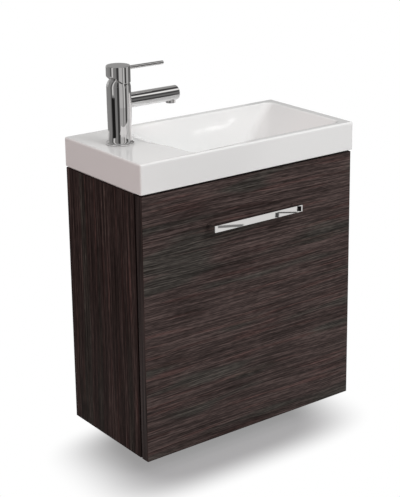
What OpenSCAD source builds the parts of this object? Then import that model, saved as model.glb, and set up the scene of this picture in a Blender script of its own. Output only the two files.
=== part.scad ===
// Wall hung cloakroom vanity unit: a one door cupboard with a slim ceramic basin, a lever mixer and a waste.
// +X is right, +Y points at the wall, +Z is up.
// The origin is midway between the two wall screw holes, on the wall.

/* [Cabinet] */
// Width of the carcass over its side panels
cabinet_w = 396; // [380:1:500]
// Height of the carcass
cabinet_h = 410; // [380:1:600]
// Depth of the carcass from the wall to the front edges of its side panels
carcass_d = 182.5; // [180:0.5:230]
// Thickness of the carcass boards
board_t = 16; // [15:0.5:19]
// Height of the front rail under the basin
front_rail_h = 60; // [50:1:70]
// Height of the upper back rail, which takes the wall screws
upper_rail_h = 80; // [70:1:100]
// Height of the lower back rail
lower_rail_h = 70; // [60:1:100]
// Distance between the two wall screw holes
wall_hole_spacing = 300; // [240:1:320]
// Diameter of a wall screw hole
wall_hole_d = 8; // [6:0.5:10]
// Distance of the wall screw holes below the top of the carcass
wall_hole_drop = 42; // [36:1:50]

/* [Door] */
// Thickness of the door
door_t = 16; // [16:0.5:19]
// Gap between the door's back and the carcass
door_gap = 2.5; // [2.5:0.1:3.5]
// Distance of the door's top edge below the top of the carcass
door_top_reveal = 0.5; // [0:0.5:3]
// Radius of the door's upright edges
door_edge_r = 1.5; // [1:0.1:2]
// Radius of a rubber buffer
buffer_r = 4; // [3:0.5:5]
// Thickness of a rubber buffer
buffer_t = 2.2; // [1.5:0.1:2.3]
// Distance of a buffer's centre from the door's edges
buffer_inset = 8; // [6:0.5:12]

/* [Handle] */
// Distance between the handle's screws
handle_centres = 160; // [96:1:192]
// Height of the handle's flat bar
handle_w = 10.4; // [8:0.1:16]
// Thickness of the handle's flat bar
handle_t = 4.4; // [3.5:0.1:6]
// Distance that the handle stands out from the door
handle_reach = 19; // [16:0.5:30]
// Outer radius of the handle's two corners
handle_corner_r = 1.2; // [0.6:0.1:3]
// Thickness of a handle's foot along the bar
handle_foot_t = 7; // [6.5:0.5:8]
// Distance of the handle's middle below the door's top
handle_drop = 66; // [50:1:120]
// Diameter of a handle screw
handle_screw_d = 4; // [3.5:0.5:4]
// Diameter of a handle screw's head
handle_head_d = 8; // [7:0.5:10]
// Height of a handle screw's head
handle_head_h = 2.6; // [2:0.1:3]
// Depth that a handle screw reaches into the foot
handle_screw_grip = 7; // [5:0.5:9]

/* [Board fittings] */
// Diameter of a wooden dowel
dowel_d = 8; // [6:0.5:8]
// Depth of a dowel in the side panel
dowel_in_side = 11; // [9:0.5:12]
// Depth of a dowel in the rail or bottom
dowel_in_board = 20; // [15:1:24]
// Diameter of a cam disc
cam_d = 15; // [12:0.5:16]
// Thickness of a cam disc
cam_h = 12; // [11:0.5:13]
// Distance of a cam disc's centre from the side panel
cam_inset = 24; // [22:0.5:34]
// Diameter of a cam bolt's shank
cam_bolt_d = 6; // [5:0.5:7]
// Diameter of a cam bolt's thread in the side panel
cam_thread_d = 5; // [4:0.5:6]
// Depth of a cam bolt in the side panel
cam_in_side = 11; // [9:0.5:12]
// Distance of a rail's cam below the rail's top edge
rail_cam_drop = 18; // [15:0.5:22]
// Distance of a rail's dowel above the rail's lower edge
rail_dowel_rise = 14; // [10:0.5:20]
// Distance of the bottom's dowels from its front and back edges
bottom_dowel_inset = 28; // [22:1:36]
// Distance of the bottom's cams from its front and back edges
bottom_cam_inset = 58; // [50:1:70]

/* [Hinges] */
// Height of the lower hinge above the underside
lower_hinge_z = 72; // [60:1:120]
// Distance of the upper hinge below the top of the carcass
upper_hinge_drop = 103; // [90:1:160]
// Diameter of the cup let into the door
cup_d = 35; // [35:0.5:36]
// Depth of the cup in the door
cup_depth = 12; // [11.5:0.1:13]
// Wall of the cup
cup_wall = 1; // [0.8:0.1:1.1]
// Distance of the cup's hole from the door's edge
cup_edge = 3; // [3:0.1:3.2]
// Thickness of the cup's flange on the door
flange_t = 1; // [0.8:0.1:1.1]
// Distance between the flange's screws
flange_screw_spacing = 45; // [45:0.5:52]
// Setback of the flange's screws from the cup's centre
flange_screw_setback = 9.5; // [8:0.5:10]
// Radius of the flange's ends
flange_end_r = 6; // [5:0.5:7]
// Diameter of a hinge pin
pin_d = 2.5; // [2:0.1:2.6]
// Outer radius of the arm's eye round the pin
eye_r = 2.15; // [2.1:0.05:2.2]
// Width of the arm's eye along the pin
eye_w = 5; // [4:0.1:5]
// Depth of the pin below the door's back
pin_depth = 6.9; // [6.6:0.1:7.2]
// Thickness of the arm's sheet
arm_t = 1.6; // [1.2:0.1:1.8]
// Thickness of the arm's neck
neck_t = 2.2; // [1.8:0.1:2.3]
// Width of the arm
arm_w = 16; // [15:0.5:20]
// Length of the arm inside the cabinet
arm_l = 50; // [48:1:60]
// Height of the arm off the side panel
arm_rise = 9.5; // [9:0.5:12]
// Thickness of the mounting plate's wings
plate_t = 2; // [1.6:0.1:2.4]
// Height of the mounting plate's rail
plate_rail_h = 6; // [5:0.1:6.4]
// Distance of the mounting plate's screws from the panel's front edge
plate_screw_y = 37; // [37:0.5:40]
// Distance between the mounting plate's screws
plate_screw_spacing = 32; // [32:0.5:36]
// Diameter of the hinge's wood screws
wood_screw_d = 3; // [2.5:0.1:3.5]
// Length of the hinge's wood screws in the board
wood_screw_l = 9; // [7:0.5:10]
// Diameter of a hinge screw's head
screw_head_d = 6.4; // [6:0.1:7]
// Height of a hinge screw's head
screw_head_h = 1.2; // [1:0.1:1.3]
// Diameter of the arm's adjusting screws
adjust_screw_d = 4; // [3:0.1:5]
// Distance of the front adjusting screw from the panel's front edge
adjust_front_y = 21; // [19:0.5:24]

/* [Basin] */
// Distance that the basin stands over the cabinet at each side
basin_side_over = 2; // [1:0.5:4]
// Distance that the basin stands over the door at the front
basin_front_over = 2; // [1:0.5:6]
// Height of the basin's visible edge
basin_h = 45; // [40:1:60]
// Radius of the basin's outer edges
basin_edge_r = 3; // [2:0.5:4]
// Thickness of the deck
deck_t = 14; // [12:1:18]
// Thickness of the basin's side and back walls
basin_wall = 10; // [8:1:12]
// Thickness of the basin's front wall, which rests on the front rail
front_wall = 28; // [27:1:32]
// Thickness of the sealant bead between the basin and the cabinet
bead_t = 2.5; // [1.5:0.5:4]
// Width of the sealant bead
bead_w = 10; // [8:0.5:12]
// Inset of the sealant bead from the cabinet's edges
bead_inset = 2; // [1:0.5:4]
// Width of the deck left of the bowl
deck_w = 103; // [96:1:110]
// Width of the rim right of the bowl
right_rim = 15; // [14:0.5:22]
// Width of the rim behind the bowl
back_rim = 15; // [14:0.5:22]
// Width of the rim in front of the bowl
front_rim = 12; // [11:0.5:20]
// Radius of the bowl's corners at the rim
bowl_corner_r = 14; // [8:1:20]
// Depth of the bowl
bowl_depth = 72; // [66:1:80]
// Radius where the bowl's walls meet its floor
bowl_floor_r = 16; // [12:1:20]
// Height of the upright lip at the top of the bowl
lip_h = 3; // [2:0.5:6]
// Thickness of the bowl's walls
bowl_wall = 8; // [6:0.5:9]
// Distance of the flat floor's left end from the bowl's left edge
floor_from_left = 87; // [70:1:100]
// Distance of the flat floor's right end from the bowl's right edge
floor_from_right = 81; // [74:1:82]
// Distance of the flat floor's front from the bowl's front edge
floor_from_front = 66; // [60:1:68]
// Depth of the bowl's flat floor from front to back
floor_d = 76; // [66:1:78]

/* [Waste] */
// Distance of the waste from the right end of the bowl's flat floor
waste_inset = 34; // [32:1:60]
// Diameter of the waste hole in the basin
waste_hole_d = 46; // [44:0.5:48]
// Diameter of the waste's flange
waste_flange_d = 60; // [56:0.5:63]
// Thickness of the waste's flange
waste_flange_t = 2.5; // [2:0.1:3.5]
// Outer diameter of the waste's threaded tail, for a one and a quarter inch nut
waste_tail_d = 41.9; // [41:0.1:42.5]
// Wall of the waste's tail
waste_wall = 3; // [2:0.1:4]
// Depth by which the waste's neck is cut back above its thread
waste_neck_cut = 0.6; // [0.4:0.1:1]
// Length of the tail below the basin
waste_tail_l = 58; // [45:1:70]
// Thickness of the washer above the basin
waste_top_seal_t = 1; // [0.8:0.1:1.5]
// Thickness of the washer below the basin
waste_low_seal_t = 4; // [3:0.5:6]
// Outer diameter of the waste's washers and nut face
waste_seal_d = 56; // [54:0.5:58]
// Thickness of the waste's back nut
waste_nut_t = 8; // [6:0.5:12]
// Width of the back nut over its corners
waste_nut_d = 62; // [60:0.5:66]
// Diameter of the plug's cap
plug_d = 40; // [38:0.5:44]
// Height of the plug's cap
plug_h = 5; // [4:0.1:8]
// Gap that the closed plug keeps above the flange
plug_gap = 0.3; // [0.2:0.05:0.6]
// Diameter of the plug's stem
plug_stem_d = 8; // [6:0.5:10]
// Diameter of the guide round the plug's stem
plug_guide_d = 13; // [12:0.5:16]
// Height of the guide round the plug's stem
plug_guide_h = 16; // [12:1:18]
// Depth of the guide below the flange's top
plug_guide_drop = 14; // [12:1:16]
// Width of the guide's arms
guide_arm_w = 3; // [2:0.1:4]
// Travel of the plug
plug_travel = 8; // [6:0.5:10]
// Thickness of the collar that stops the raised plug
plug_collar_t = 2; // [1.5:0.1:3]
// Distance that the collar stands out from the plug's stem
plug_collar_out = 1.5; // [1:0.1:2]

/* [Tap] */
// Distance of the tap's axis from the basin's left side
tap_from_left = 44.5; // [42:0.5:52]
// Distance of the tap's axis from the wall
tap_from_back = 85.5; // [70:0.5:100]
// Diameter of the tap hole in the basin
tap_hole_d = 35; // [34:0.5:36]
// Diameter of the tap's foot
foot_d = 42; // [41:0.5:48]
// Height of the foot's straight edge
foot_h = 2.2; // [1.5:0.1:4]
// Height at which the foot has run out into the body
foot_run = 13; // [8:0.5:18]
// Diameter of the body just above its foot
waist_d = 34.4; // [33.5:0.1:35]
// Height at which the body has its full diameter
waist_top = 46; // [40:0.5:48]
// Diameter of the body and of the lever's cap
body_d = 36; // [35:0.5:38]
// Height of the body
body_h = 88; // [86:0.5:96]
// Distance of the spout's axis below the body's top
spout_drop = 25.5; // [24:0.5:28]
// Diameter of the spout
spout_d = 22.4; // [20:0.1:24]
// Distance of the spout's end from the tap's axis
spout_reach = 101.5; // [90:0.5:140]
// Diameter of the spout's waterway
spout_bore_d = 10; // [8:0.5:12]
// Distance of the outlet's centre from the spout's end
outlet_inset = 10; // [9.5:0.5:14]
// Diameter of the aerator
aerator_d = 14.6; // [13:0.1:16]
// Distance that the aerator stands below the spout
aerator_drop = 3; // [1:0.5:5]
// Depth of the aerator's seat inside the spout
aerator_seat = 6; // [4:0.5:7]
// Diameter of the aerator's outlet
aerator_bore_d = 11; // [9:0.5:12]
// Depth of the domed cartridge nut in the body
nut_grip = 4; // [3.8:0.1:4.4]
// Diameter of the cartridge
cartridge_d = 25; // [24:0.1:26]
// Height of the cartridge
cartridge_h = 14; // [13.5:0.1:14.5]
// Diameter of the cartridge's turning spindle
spindle_d = 15; // [14:0.1:15.5]
// Height of the cartridge's turning spindle
spindle_h = 10; // [9:0.1:11]
// Width of the square lever stem
stem_w = 6; // [5:0.1:6.2]
// Diameter of the stem's cross pin
stem_pin_d = 3; // [2.5:0.1:3]
// Depth of the stem's cross pin below the body's top
tilt_drop = 3.5; // [3.3:0.1:3.8]
// Height of the stem's top above the body's top
stem_rise = 21; // [18:0.5:21.5]
// Height of the cap's lower edge above the body's top
cap_rise = 4.5; // [4:0.1:5]
// Height of the lever's cap
cap_h = 24.5; // [22:0.5:30]
// Radius of the cap's upper edge
cap_edge_r = 1.5; // [1:0.1:3]
// Angle of the cut under the back of the cap
cap_cut = 37; // [32:0.5:38]
// Distance behind the tap's axis at which that cut starts
cap_cut_start = 3; // [2.5:0.5:5]
// Widest tilt of the lever
tilt_open = 20; // [15:0.5:21]
// Diameter of the pin lever
lever_d = 5.6; // [4:0.1:8]
// Distance of the pin lever's end from the tap's axis
lever_reach = 79; // [60:1:110]
// Distance of the pin lever below the cap's top
lever_drop = 5.7; // [5:0.1:8]
// Depth of the pin lever in the cap
lever_grip = 8; // [5:0.5:9]
// Diameter of the grub screw that holds the cap on its stem
grub_d = 4; // [3:0.5:5]
// Distance of the grub screw below the cap's top
grub_drop = 10; // [9.5:0.1:10.2]
// Radius of the ring of metal round the tap's inlets and fixing stud
fixing_offset = 12; // [11.5:0.1:12.5]
// Diameter of a tap inlet
inlet_d = 10; // [8:0.5:10]
// Depth of a tap inlet
inlet_depth = 14; // [10:0.5:20]
// Distance of an inlet from the tap's middle, sideways
inlet_side = 8; // [7.5:0.1:8.5]
// Distance of an inlet from the tap's middle, towards the spout
inlet_fore = 3; // [2.5:0.1:3.5]
// Diameter of the fixing stud
stud_d = 8; // [6:0.5:8]
// Depth of the fixing stud in the body
stud_grip = 12; // [8:0.5:16]
// Length of the fixing stud below the deck's underside
stud_tail = 42; // [20:1:60]
// Diameter of the clamping washer
clamp_d = 48; // [46:0.5:52]
// Thickness of the clamping washer
clamp_t = 2; // [1.5:0.1:3]
// Thickness of the rubber under the clamping washer
clamp_rubber_t = 2; // [1:0.1:3]
// Diameter of the clamping washer's opening
clamp_bore_d = 30; // [29:0.5:31]
// Height of the stud's nut
stud_nut_h = 6.5; // [5:0.1:8]
// Width of the stud's nut over its corners
stud_nut_d = 15; // [14:0.1:16]
// Thickness of the rubber ring under the tap's foot
foot_seal_t = 1; // [0.8:0.1:1.5]
// Width of the rubber ring under the tap's foot
foot_seal_w = 2; // [1.5:0.1:2.5]
// Gap between the tap's foot and the deck
foot_gap = 0.4; // [0.3:0.1:0.5]

/* [Hidden] */
$fn = 48;
// Radial clearance of a running fit
run_fit = 0.05;
// Radial clearance of a seated fit
seat_fit = 0.02;
// Radial clearance of a ring slipped over a shaft, and of a wood screw in its plate
slip_fit = 0.1;
// Radial clearance of a cam bolt's shank in its board
bolt_fit = 0.2;
// Radial clearance of a handle screw in the door
screw_fit = 0.25;
// Depth of a handle screw's head below the door's back
sunk_depth = 0.1;
// Distance of the foot's rubber ring inside the foot's edge
foot_seal_inset = 1;
// Distance of the cartridge's two inlets from its middle
passage_y = 9.5;
// Clearance at the blind end of a hole
end_fit = 0.5;
// Clearance round the arm's eye in the cup
eye_gap = 0.45;
// Clearance between the arm's eye and a cheek
cheek_gap = 0.3;
// Clearance between the domed nut and the cap that turns over it, and round the stem in the dome
dome_fit = 0.5;
// Overlap that lets a cut break cleanly through a face
cut = 1;

wood_color = "#3d3432";
chrome_color = "#c9ccd0";
steel_color = "#9a9da1";
ceramic_color = "#f2f2ef";
rubber_color = "#2a2a2a";
brass_color = "#b9974e";
beech_color = "#c9a876";
white_color = "#e8e8e6";

inner_x = cabinet_w / 2 - board_t;
door_back_y = -carcass_d - door_gap;
door_front_y = door_back_y - door_t;
door_h = cabinet_h - door_top_reveal;
wall_hole_z = cabinet_h - wall_hole_drop;
handle_z = door_h - handle_drop;

basin_w = cabinet_w + 2 * basin_side_over;
basin_front_y = door_front_y - basin_front_over;
basin_z = cabinet_h + bead_t;
deck_z = basin_z + basin_h;
bowl_x0 = -basin_w / 2 + deck_w;
bowl_x1 = basin_w / 2 - right_rim;
bowl_y0 = basin_front_y + front_rim;
bowl_y1 = -back_rim;
floor_z = deck_z - bowl_depth;
floor_x0 = bowl_x0 + floor_from_left;
floor_x1 = bowl_x1 - floor_from_right;
floor_y0 = bowl_y0 + floor_from_front;
floor_y1 = floor_y0 + floor_d;
waste_x = floor_x1 - waste_inset;
waste_y = (floor_y0 + floor_y1) / 2;
waste_top_z = floor_z + waste_top_seal_t + waste_flange_t;
waste_low_z = floor_z - bowl_wall - waste_low_seal_t;
waste_nut_z = waste_low_z - waste_nut_t;
waste_end_z = floor_z - bowl_wall - waste_tail_l;
waste_neck_r = waste_tail_d / 2 - waste_neck_cut;

tap_x = -basin_w / 2 + tap_from_left;
tap_y = -tap_from_back;
spout_z = body_h - spout_drop;
cartridge_seat = body_h - nut_grip - cartridge_h;
cap_z = deck_z + body_h + cap_rise;
tilt_h = body_h - tilt_drop;
tilt_z = deck_z + tilt_h;
dome_r = body_d / 2;
// The stem's height where it leaves the dome, and the opening that it needs there at its widest tilt
stem_leave = sqrt(pow(dome_r, 2) - pow(stem_w, 2) / 2);
dome_bore_r = norm([stem_leave * sin(tilt_open) + stem_w / 2 * cos(tilt_open), stem_w / 2]) + dome_fit;
lever_z = cap_z + cap_h - lever_drop;
grub_z = cap_h - grub_drop;
foot_seal_r = foot_d / 2 - foot_seal_inset;

pivot_out = board_t - cup_edge - cup_wall - eye_r - eye_gap;
pivot_fore = door_gap + pin_depth;
hinge_heights = [lower_hinge_z, cabinet_h - upper_hinge_drop];
cup_out = board_t - cup_edge - cup_d / 2;

// Each row is a rail's or the bottom's dowel: its place along Y and Z
dowel_spots = [
    [-bottom_dowel_inset, board_t / 2],
    [-carcass_d + bottom_dowel_inset, board_t / 2],
    [-carcass_d + board_t / 2, cabinet_h - front_rail_h + rail_dowel_rise],
    [-board_t / 2, cabinet_h - upper_rail_h + rail_dowel_rise],
    [-board_t / 2, board_t + rail_dowel_rise]
];
// Each row is a cam: its place along Y and Z, and the turn about X that points its face out of the board
cam_spots = [
    [-bottom_cam_inset, board_t / 2, 180],
    [-carcass_d + bottom_cam_inset, board_t / 2, 180],
    [-carcass_d + board_t / 2, cabinet_h - rail_cam_drop, -90],
    [-board_t / 2, cabinet_h - rail_cam_drop, 90],
    [-board_t / 2, board_t + lower_rail_h - rail_cam_drop, 90]
];

// Moves what is drawn from the cabinet's underside to the wall screws
module hung() {
    translate([0, 0, -wall_hole_z]) children();
}

// A rectangle with round corners, from its lowest corner
module round_rectangle(w, d, r) {
    translate([r, 0]) square([w - 2 * r, d]);
    translate([0, r]) square([w, d - 2 * r]);
    for (x = [r, w - r], y = [r, d - r]) translate([x, y]) circle(r = r);
}

// A cylinder along X whose ends are given as depths in the board and in the side panel
module across_joint(side, y, z, r, in_board, in_side) {
    translate([side * inner_x, y, z]) rotate([0, side * 90, 0])
        translate([0, 0, -in_board]) cylinder(h = in_board + in_side, r = r);
}

module dowel_holes(spots) {
    for (side = [-1, 1], s = spots)
        across_joint(
            side, s[0], s[1], dowel_d / 2 + seat_fit, dowel_in_board + end_fit, dowel_in_side + end_fit
        );
}

// The disc's own frame: its axis along Z, the bolt's axis through the origin
module at_cam(side, s) {
    translate([side * (inner_x - cam_inset), s[0], s[1]]) rotate([s[2], 0, 0]) children();
}

module cam_disc_shape(r, h) {
    translate([0, 0, board_t / 2 - h]) cylinder(h = h + (r > cam_d / 2 ? cut : 0), r = r);
}

module cam_holes(spots) {
    for (side = [-1, 1], s = spots) {
        across_joint(side, s[0], s[1], cam_thread_d / 2 + seat_fit, cut, cam_in_side + end_fit);
        across_joint(side, s[0], s[1], cam_bolt_d / 2 + bolt_fit, cam_inset, 0);
        at_cam(side, s) cam_disc_shape(cam_d / 2 + run_fit, cam_h + end_fit);
    }
}

module side_panel(side) {
    color(wood_color) hung() difference() {
        translate([side > 0 ? inner_x : -inner_x - board_t, -carcass_d, 0])
            cube([board_t, carcass_d, cabinet_h]);
        dowel_holes(dowel_spots);
        for (s = cam_spots)
            across_joint(side, s[0], s[1], cam_thread_d / 2 + seat_fit, cut, cam_in_side + end_fit);
        if (side > 0) for (z = hinge_heights, end = [-1, 1])
            translate([inner_x - cut, plate_screw_y - carcass_d, z + end * plate_screw_spacing / 2])
                rotate([0, 90, 0])
                    cylinder(h = cut + wood_screw_l + end_fit, r = wood_screw_d / 2 + seat_fit);
    }
}

module side_panel_left() {
    side_panel(-1);
}

module side_panel_right() {
    side_panel(1);
}

module bottom_panel() {
    color(wood_color) hung() difference() {
        translate([-inner_x, -carcass_d, 0]) cube([2 * inner_x, carcass_d, board_t]);
        dowel_holes([dowel_spots[0], dowel_spots[1]]);
        cam_holes([cam_spots[0], cam_spots[1]]);
    }
}

// A board on edge between the side panels
module rail(y, z, h) {
    translate([-inner_x, y, z]) cube([2 * inner_x, board_t, h]);
}

module front_rail() {
    color(wood_color) hung() difference() {
        rail(-carcass_d, cabinet_h - front_rail_h, front_rail_h);
        dowel_holes([dowel_spots[2]]);
        cam_holes([cam_spots[2]]);
    }
}

module upper_back_rail() {
    color(wood_color) hung() difference() {
        rail(-board_t, cabinet_h - upper_rail_h, upper_rail_h);
        dowel_holes([dowel_spots[3]]);
        cam_holes([cam_spots[3]]);
        for (side = [-1, 1]) translate([side * wall_hole_spacing / 2, cut, wall_hole_z])
            rotate([90, 0, 0]) cylinder(h = board_t + 2 * cut, r = wall_hole_d / 2);
    }
}

module lower_back_rail() {
    color(wood_color) hung() difference() {
        rail(-board_t, board_t, lower_rail_h);
        dowel_holes([dowel_spots[4]]);
        cam_holes([cam_spots[4]]);
    }
}

module dowels() {
    color(beech_color) hung() for (side = [-1, 1], s = dowel_spots)
        across_joint(side, s[0], s[1], dowel_d / 2, dowel_in_board, dowel_in_side);
}

// A cam bolt: its thread in the side panel, its shank in the board and its head in the disc
module cam_bolts() {
    neck_l = 3;
    head_l = 2.4;
    color(steel_color) hung() for (side = [-1, 1], s = cam_spots) {
        across_joint(side, s[0], s[1], cam_thread_d / 2, 0, cam_in_side);
        across_joint(side, s[0], s[1], cam_bolt_d / 2, cam_inset - neck_l, 0);
        across_joint(side, s[0], s[1], cam_bolt_d / 4, cam_inset, 0);
        across_joint(side, s[0], s[1], cam_bolt_d / 2, cam_inset + head_l, -cam_inset);
    }
}

module cam_discs() {
    slot_w = 2;
    slot_depth = 2.5;
    color(steel_color) hung() for (side = [-1, 1], s = cam_spots) difference() {
        at_cam(side, s) cam_disc_shape(cam_d / 2, cam_h);
        across_joint(side, s[0], s[1], cam_bolt_d / 2 + bolt_fit, cam_inset + 3, -cam_inset + cam_d);
        at_cam(side, s) for (turn = [0, 90]) rotate([0, 0, turn])
            translate([-cam_d / 4, -slot_w / 2, board_t / 2 - slot_depth])
                cube([cam_d / 2, slot_w, slot_depth + cut]);
    }
}

// Places what is drawn at a hinge: X outwards from the panel's inner face, Y inwards from its front edge
module at_hinge(z) {
    translate([inner_x, -carcass_d, z]) children();
}

module cup_hole(r, depth) {
    translate([cup_out, -door_gap + cut, 0]) rotate([90, 0, 0]) cylinder(h = depth + cut, r = r);
}

module flange_screw_places() {
    for (end = [-1, 1]) translate([cup_out - flange_screw_setback, -door_gap, end * flange_screw_spacing / 2])
        rotate([90, 0, 0]) children();
}

module door_panel() {
    color(wood_color) hung() difference() {
        translate([-cabinet_w / 2, door_front_y, 0])
            linear_extrude(door_h) round_rectangle(cabinet_w, door_t, door_edge_r);
        for (z = hinge_heights) at_hinge(z) {
            cup_hole(cup_d / 2 + seat_fit, cup_depth + seat_fit);
            flange_screw_places() translate([0, 0, -cut])
                cylinder(h = wood_screw_l + end_fit + cut, r = wood_screw_d / 2 + seat_fit);
        }
        handle_screw_places() {
            translate([0, 0, -cut]) cylinder(h = door_t + 2 * cut, r = handle_screw_d / 2 + screw_fit);
            translate([0, 0, -cut])
                cylinder(h = handle_head_h + sunk_depth + cut, r = handle_head_d / 2 + screw_fit);
        }
    }
}

module door_buffers() {
    color(rubber_color) hung() for (z = [buffer_inset, door_h - buffer_inset])
        translate([-cabinet_w / 2 + buffer_inset, door_back_y, z]) rotate([-90, 0, 0]) {
            cylinder(h = buffer_t / 2, r = buffer_r);
            translate([0, 0, buffer_t / 2]) cylinder(h = buffer_t / 2, r1 = buffer_r, r2 = buffer_r * 0.7);
        }
}

// Frames with Z running out of the door's front, from the door's back at each handle screw
module handle_screw_places() {
    for (side = [-1, 1]) translate([side * handle_centres / 2, door_back_y, handle_z])
        rotate([90, 0, 0]) children();
}

// The handle seen from above: a flat bar whose ends turn square back to the door
module handle_outline() {
    half = handle_centres / 2 + handle_foot_t / 2;
    opening = half - handle_foot_t;
    difference() {
        translate([-half, -handle_reach])
            round_rectangle(2 * half, handle_reach + handle_corner_r, handle_corner_r);
        translate([-half - cut, 0]) square([2 * (half + cut), handle_corner_r + cut]);
        translate([-opening, -handle_reach + handle_t]) square([2 * opening, handle_reach - handle_t + cut]);
    }
}

module handle() {
    color(chrome_color) hung() difference() {
        translate([0, door_front_y, handle_z - handle_w / 2]) linear_extrude(handle_w) handle_outline();
        handle_screw_places() translate([0, 0, door_t - cut])
            cylinder(h = handle_screw_grip + end_fit + cut, r = handle_screw_d / 2 + seat_fit);
    }
}

module handle_screws() {
    drive_l = 5.2;
    drive_w = 0.8;
    color(steel_color) hung() handle_screw_places() difference() {
        union() {
            translate([0, 0, sunk_depth]) cylinder(h = handle_head_h, r = handle_head_d / 2);
            translate([0, 0, sunk_depth])
                cylinder(h = door_t + handle_screw_grip - sunk_depth, r = handle_screw_d / 2);
        }
        for (turn = [0, 90]) rotate([0, 0, turn])
            translate([-drive_l / 2, -drive_w / 2, -cut]) cube([drive_l, drive_w, cut + handle_head_h / 2]);
    }
}

// The cup in the door: a pressed pan with two ears, and two cheeks that hold the pin
module hinge_cup(z) {
    inner_r = cup_d / 2 - cup_wall;
    cheek_reach = 3.4;
    cheek_in = pivot_out - cheek_reach;
    cheek_z = eye_w / 2 + cheek_gap;
    color(steel_color) hung() at_hinge(z) difference() {
        union() {
            difference() {
                union() {
                    translate([cup_out, -door_gap + flange_t, 0]) rotate([90, 0, 0])
                        cylinder(h = cup_depth + flange_t, r = cup_d / 2);
                    flange_ears();
                }
                translate([cup_out, -door_gap + flange_t + cut, 0]) rotate([90, 0, 0])
                    cylinder(h = cup_depth + flange_t + cut - cup_wall, r = inner_r);
            }
            intersection() {
                translate([cup_out, -door_gap, 0]) rotate([90, 0, 0])
                    cylinder(h = cup_depth - cup_wall / 2, r = inner_r + cup_wall / 2);
                for (end = [-1, 1]) translate([cheek_in, -door_gap - cup_depth, end > 0 ? cheek_z : -cup_d])
                    cube([cup_d, cup_depth, cup_d - cheek_z]);
            }
        }
        translate([pivot_out, -pivot_fore, -cup_d / 2 - cut])
            cylinder(h = cup_d + 2 * cut, r = pin_d / 2 + seat_fit);
        flange_screw_places() translate([0, 0, -flange_t - cut])
            cylinder(h = 2 * cut + flange_t, r = wood_screw_d / 2 + slip_fit);
    }
}

// The flange's two ears, each with a screw
module flange_ears() {
    x = cup_out - flange_screw_setback;
    for (end = [-1, 1]) {
        translate([x, -door_gap + flange_t, end * flange_screw_spacing / 2]) rotate([90, 0, 0])
            cylinder(h = flange_t, r = flange_end_r);
        translate([x - flange_end_r, -door_gap, end > 0 ? cup_d / 4 : -flange_screw_spacing / 2])
            cube([2 * flange_end_r, flange_t, flange_screw_spacing / 2 - cup_d / 4]);
    }
}

module lower_hinge_cup() {
    hinge_cup(hinge_heights[0]);
}

module upper_hinge_cup() {
    hinge_cup(hinge_heights[1]);
}

// Half the length of a hinge pin: what the cup's round wall leaves at the pin
function pin_half() = sqrt(pow(cup_d / 2 - cup_wall, 2) - pow(pivot_out + pin_d / 2 - cup_out, 2));

module hinge_pins() {
    color(steel_color) hung() for (z = hinge_heights) at_hinge(z)
        translate([pivot_out, -pivot_fore, -pin_half()]) cylinder(h = 2 * pin_half(), r = pin_d / 2);
}

module pan_screw(shank_r, shank_l, head_r, head_h) {
    slot_w = 0.7;
    difference() {
        union() {
            translate([0, 0, -head_h]) cylinder(h = head_h, r1 = head_r * 0.7, r2 = head_r);
            translate([0, 0, -head_h / 2]) cylinder(h = shank_l + head_h / 2, r = shank_r);
        }
        for (turn = [0, 90]) rotate([0, 0, turn])
            translate([-head_r * 0.45, -slot_w / 2, -head_h - cut])
                cube([head_r * 0.9, slot_w, cut + head_h * 0.6]);
    }
}

module cup_screws() {
    color(steel_color) hung() for (z = hinge_heights) at_hinge(z) flange_screw_places()
        translate([0, 0, -flange_t])
            pan_screw(wood_screw_d / 2, flange_t + wood_screw_l, screw_head_d / 2, screw_head_h);
}

// The arm: an eye on the pin, a neck out of the cup, and a channel that sits over the mounting plate
module hinge_arm(z) {
    neck_x0 = -3.2;
    neck_x1 = -0.8;
    channel_y = 8;
    wide_from = 1;
    neck_inset = 2;
    color(steel_color) hung() at_hinge(z) difference() {
        union() {
            translate([0, 0, -eye_w / 2]) linear_extrude(eye_w) {
                translate([pivot_out, -pivot_fore]) circle(r = eye_r);
                translate([neck_x0 + neck_t / 2, -pivot_fore - neck_t / 2])
                    square([pivot_out - neck_x0 - neck_t / 2, neck_t]);
            }
            translate([0, 0, -arm_w / 2 + neck_inset]) linear_extrude(arm_w - 2 * neck_inset) {
                translate([neck_x0 + neck_t / 2, -pivot_fore - neck_t / 2])
                    square([wide_from - neck_x0 - neck_t / 2, neck_t]);
                translate([neck_x0 + neck_t / 2, -pivot_fore]) circle(r = neck_t / 2);
                translate([neck_x0, -pivot_fore]) square([neck_x1 - neck_x0, pivot_fore + channel_y + arm_t]);
            }
            translate([-arm_rise, channel_y, -arm_w / 2]) cube([arm_rise + neck_x1, arm_t, arm_w]);
            translate([-arm_rise, channel_y, -arm_w / 2])
                cube([arm_rise - plate_t, arm_l - channel_y, arm_w]);
        }
        translate([-arm_rise + arm_t, channel_y + arm_t, -arm_w / 2 + arm_t])
            cube([arm_rise, arm_l - channel_y, arm_w - 2 * arm_t]);
        for (y = [adjust_front_y, plate_screw_y]) translate([-arm_rise - cut, y, 0]) rotate([0, 90, 0])
            cylinder(h = arm_t + 2 * cut, r = adjust_screw_d / 2 + run_fit);
        translate([pivot_out, -pivot_fore, -eye_w]) cylinder(h = 2 * eye_w, r = pin_d / 2 + run_fit);
    }
}

module lower_hinge_arm() {
    hinge_arm(hinge_heights[0]);
}

module upper_hinge_arm() {
    hinge_arm(hinge_heights[1]);
}

module hinge_adjusting_screws() {
    color(steel_color) hung() for (z = hinge_heights, y = [adjust_front_y, plate_screw_y]) at_hinge(z)
        translate([-arm_rise, y, 0]) rotate([0, 90, 0])
            pan_screw(adjust_screw_d / 2, arm_rise - plate_t, screw_head_d / 2, screw_head_h);
}

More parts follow.
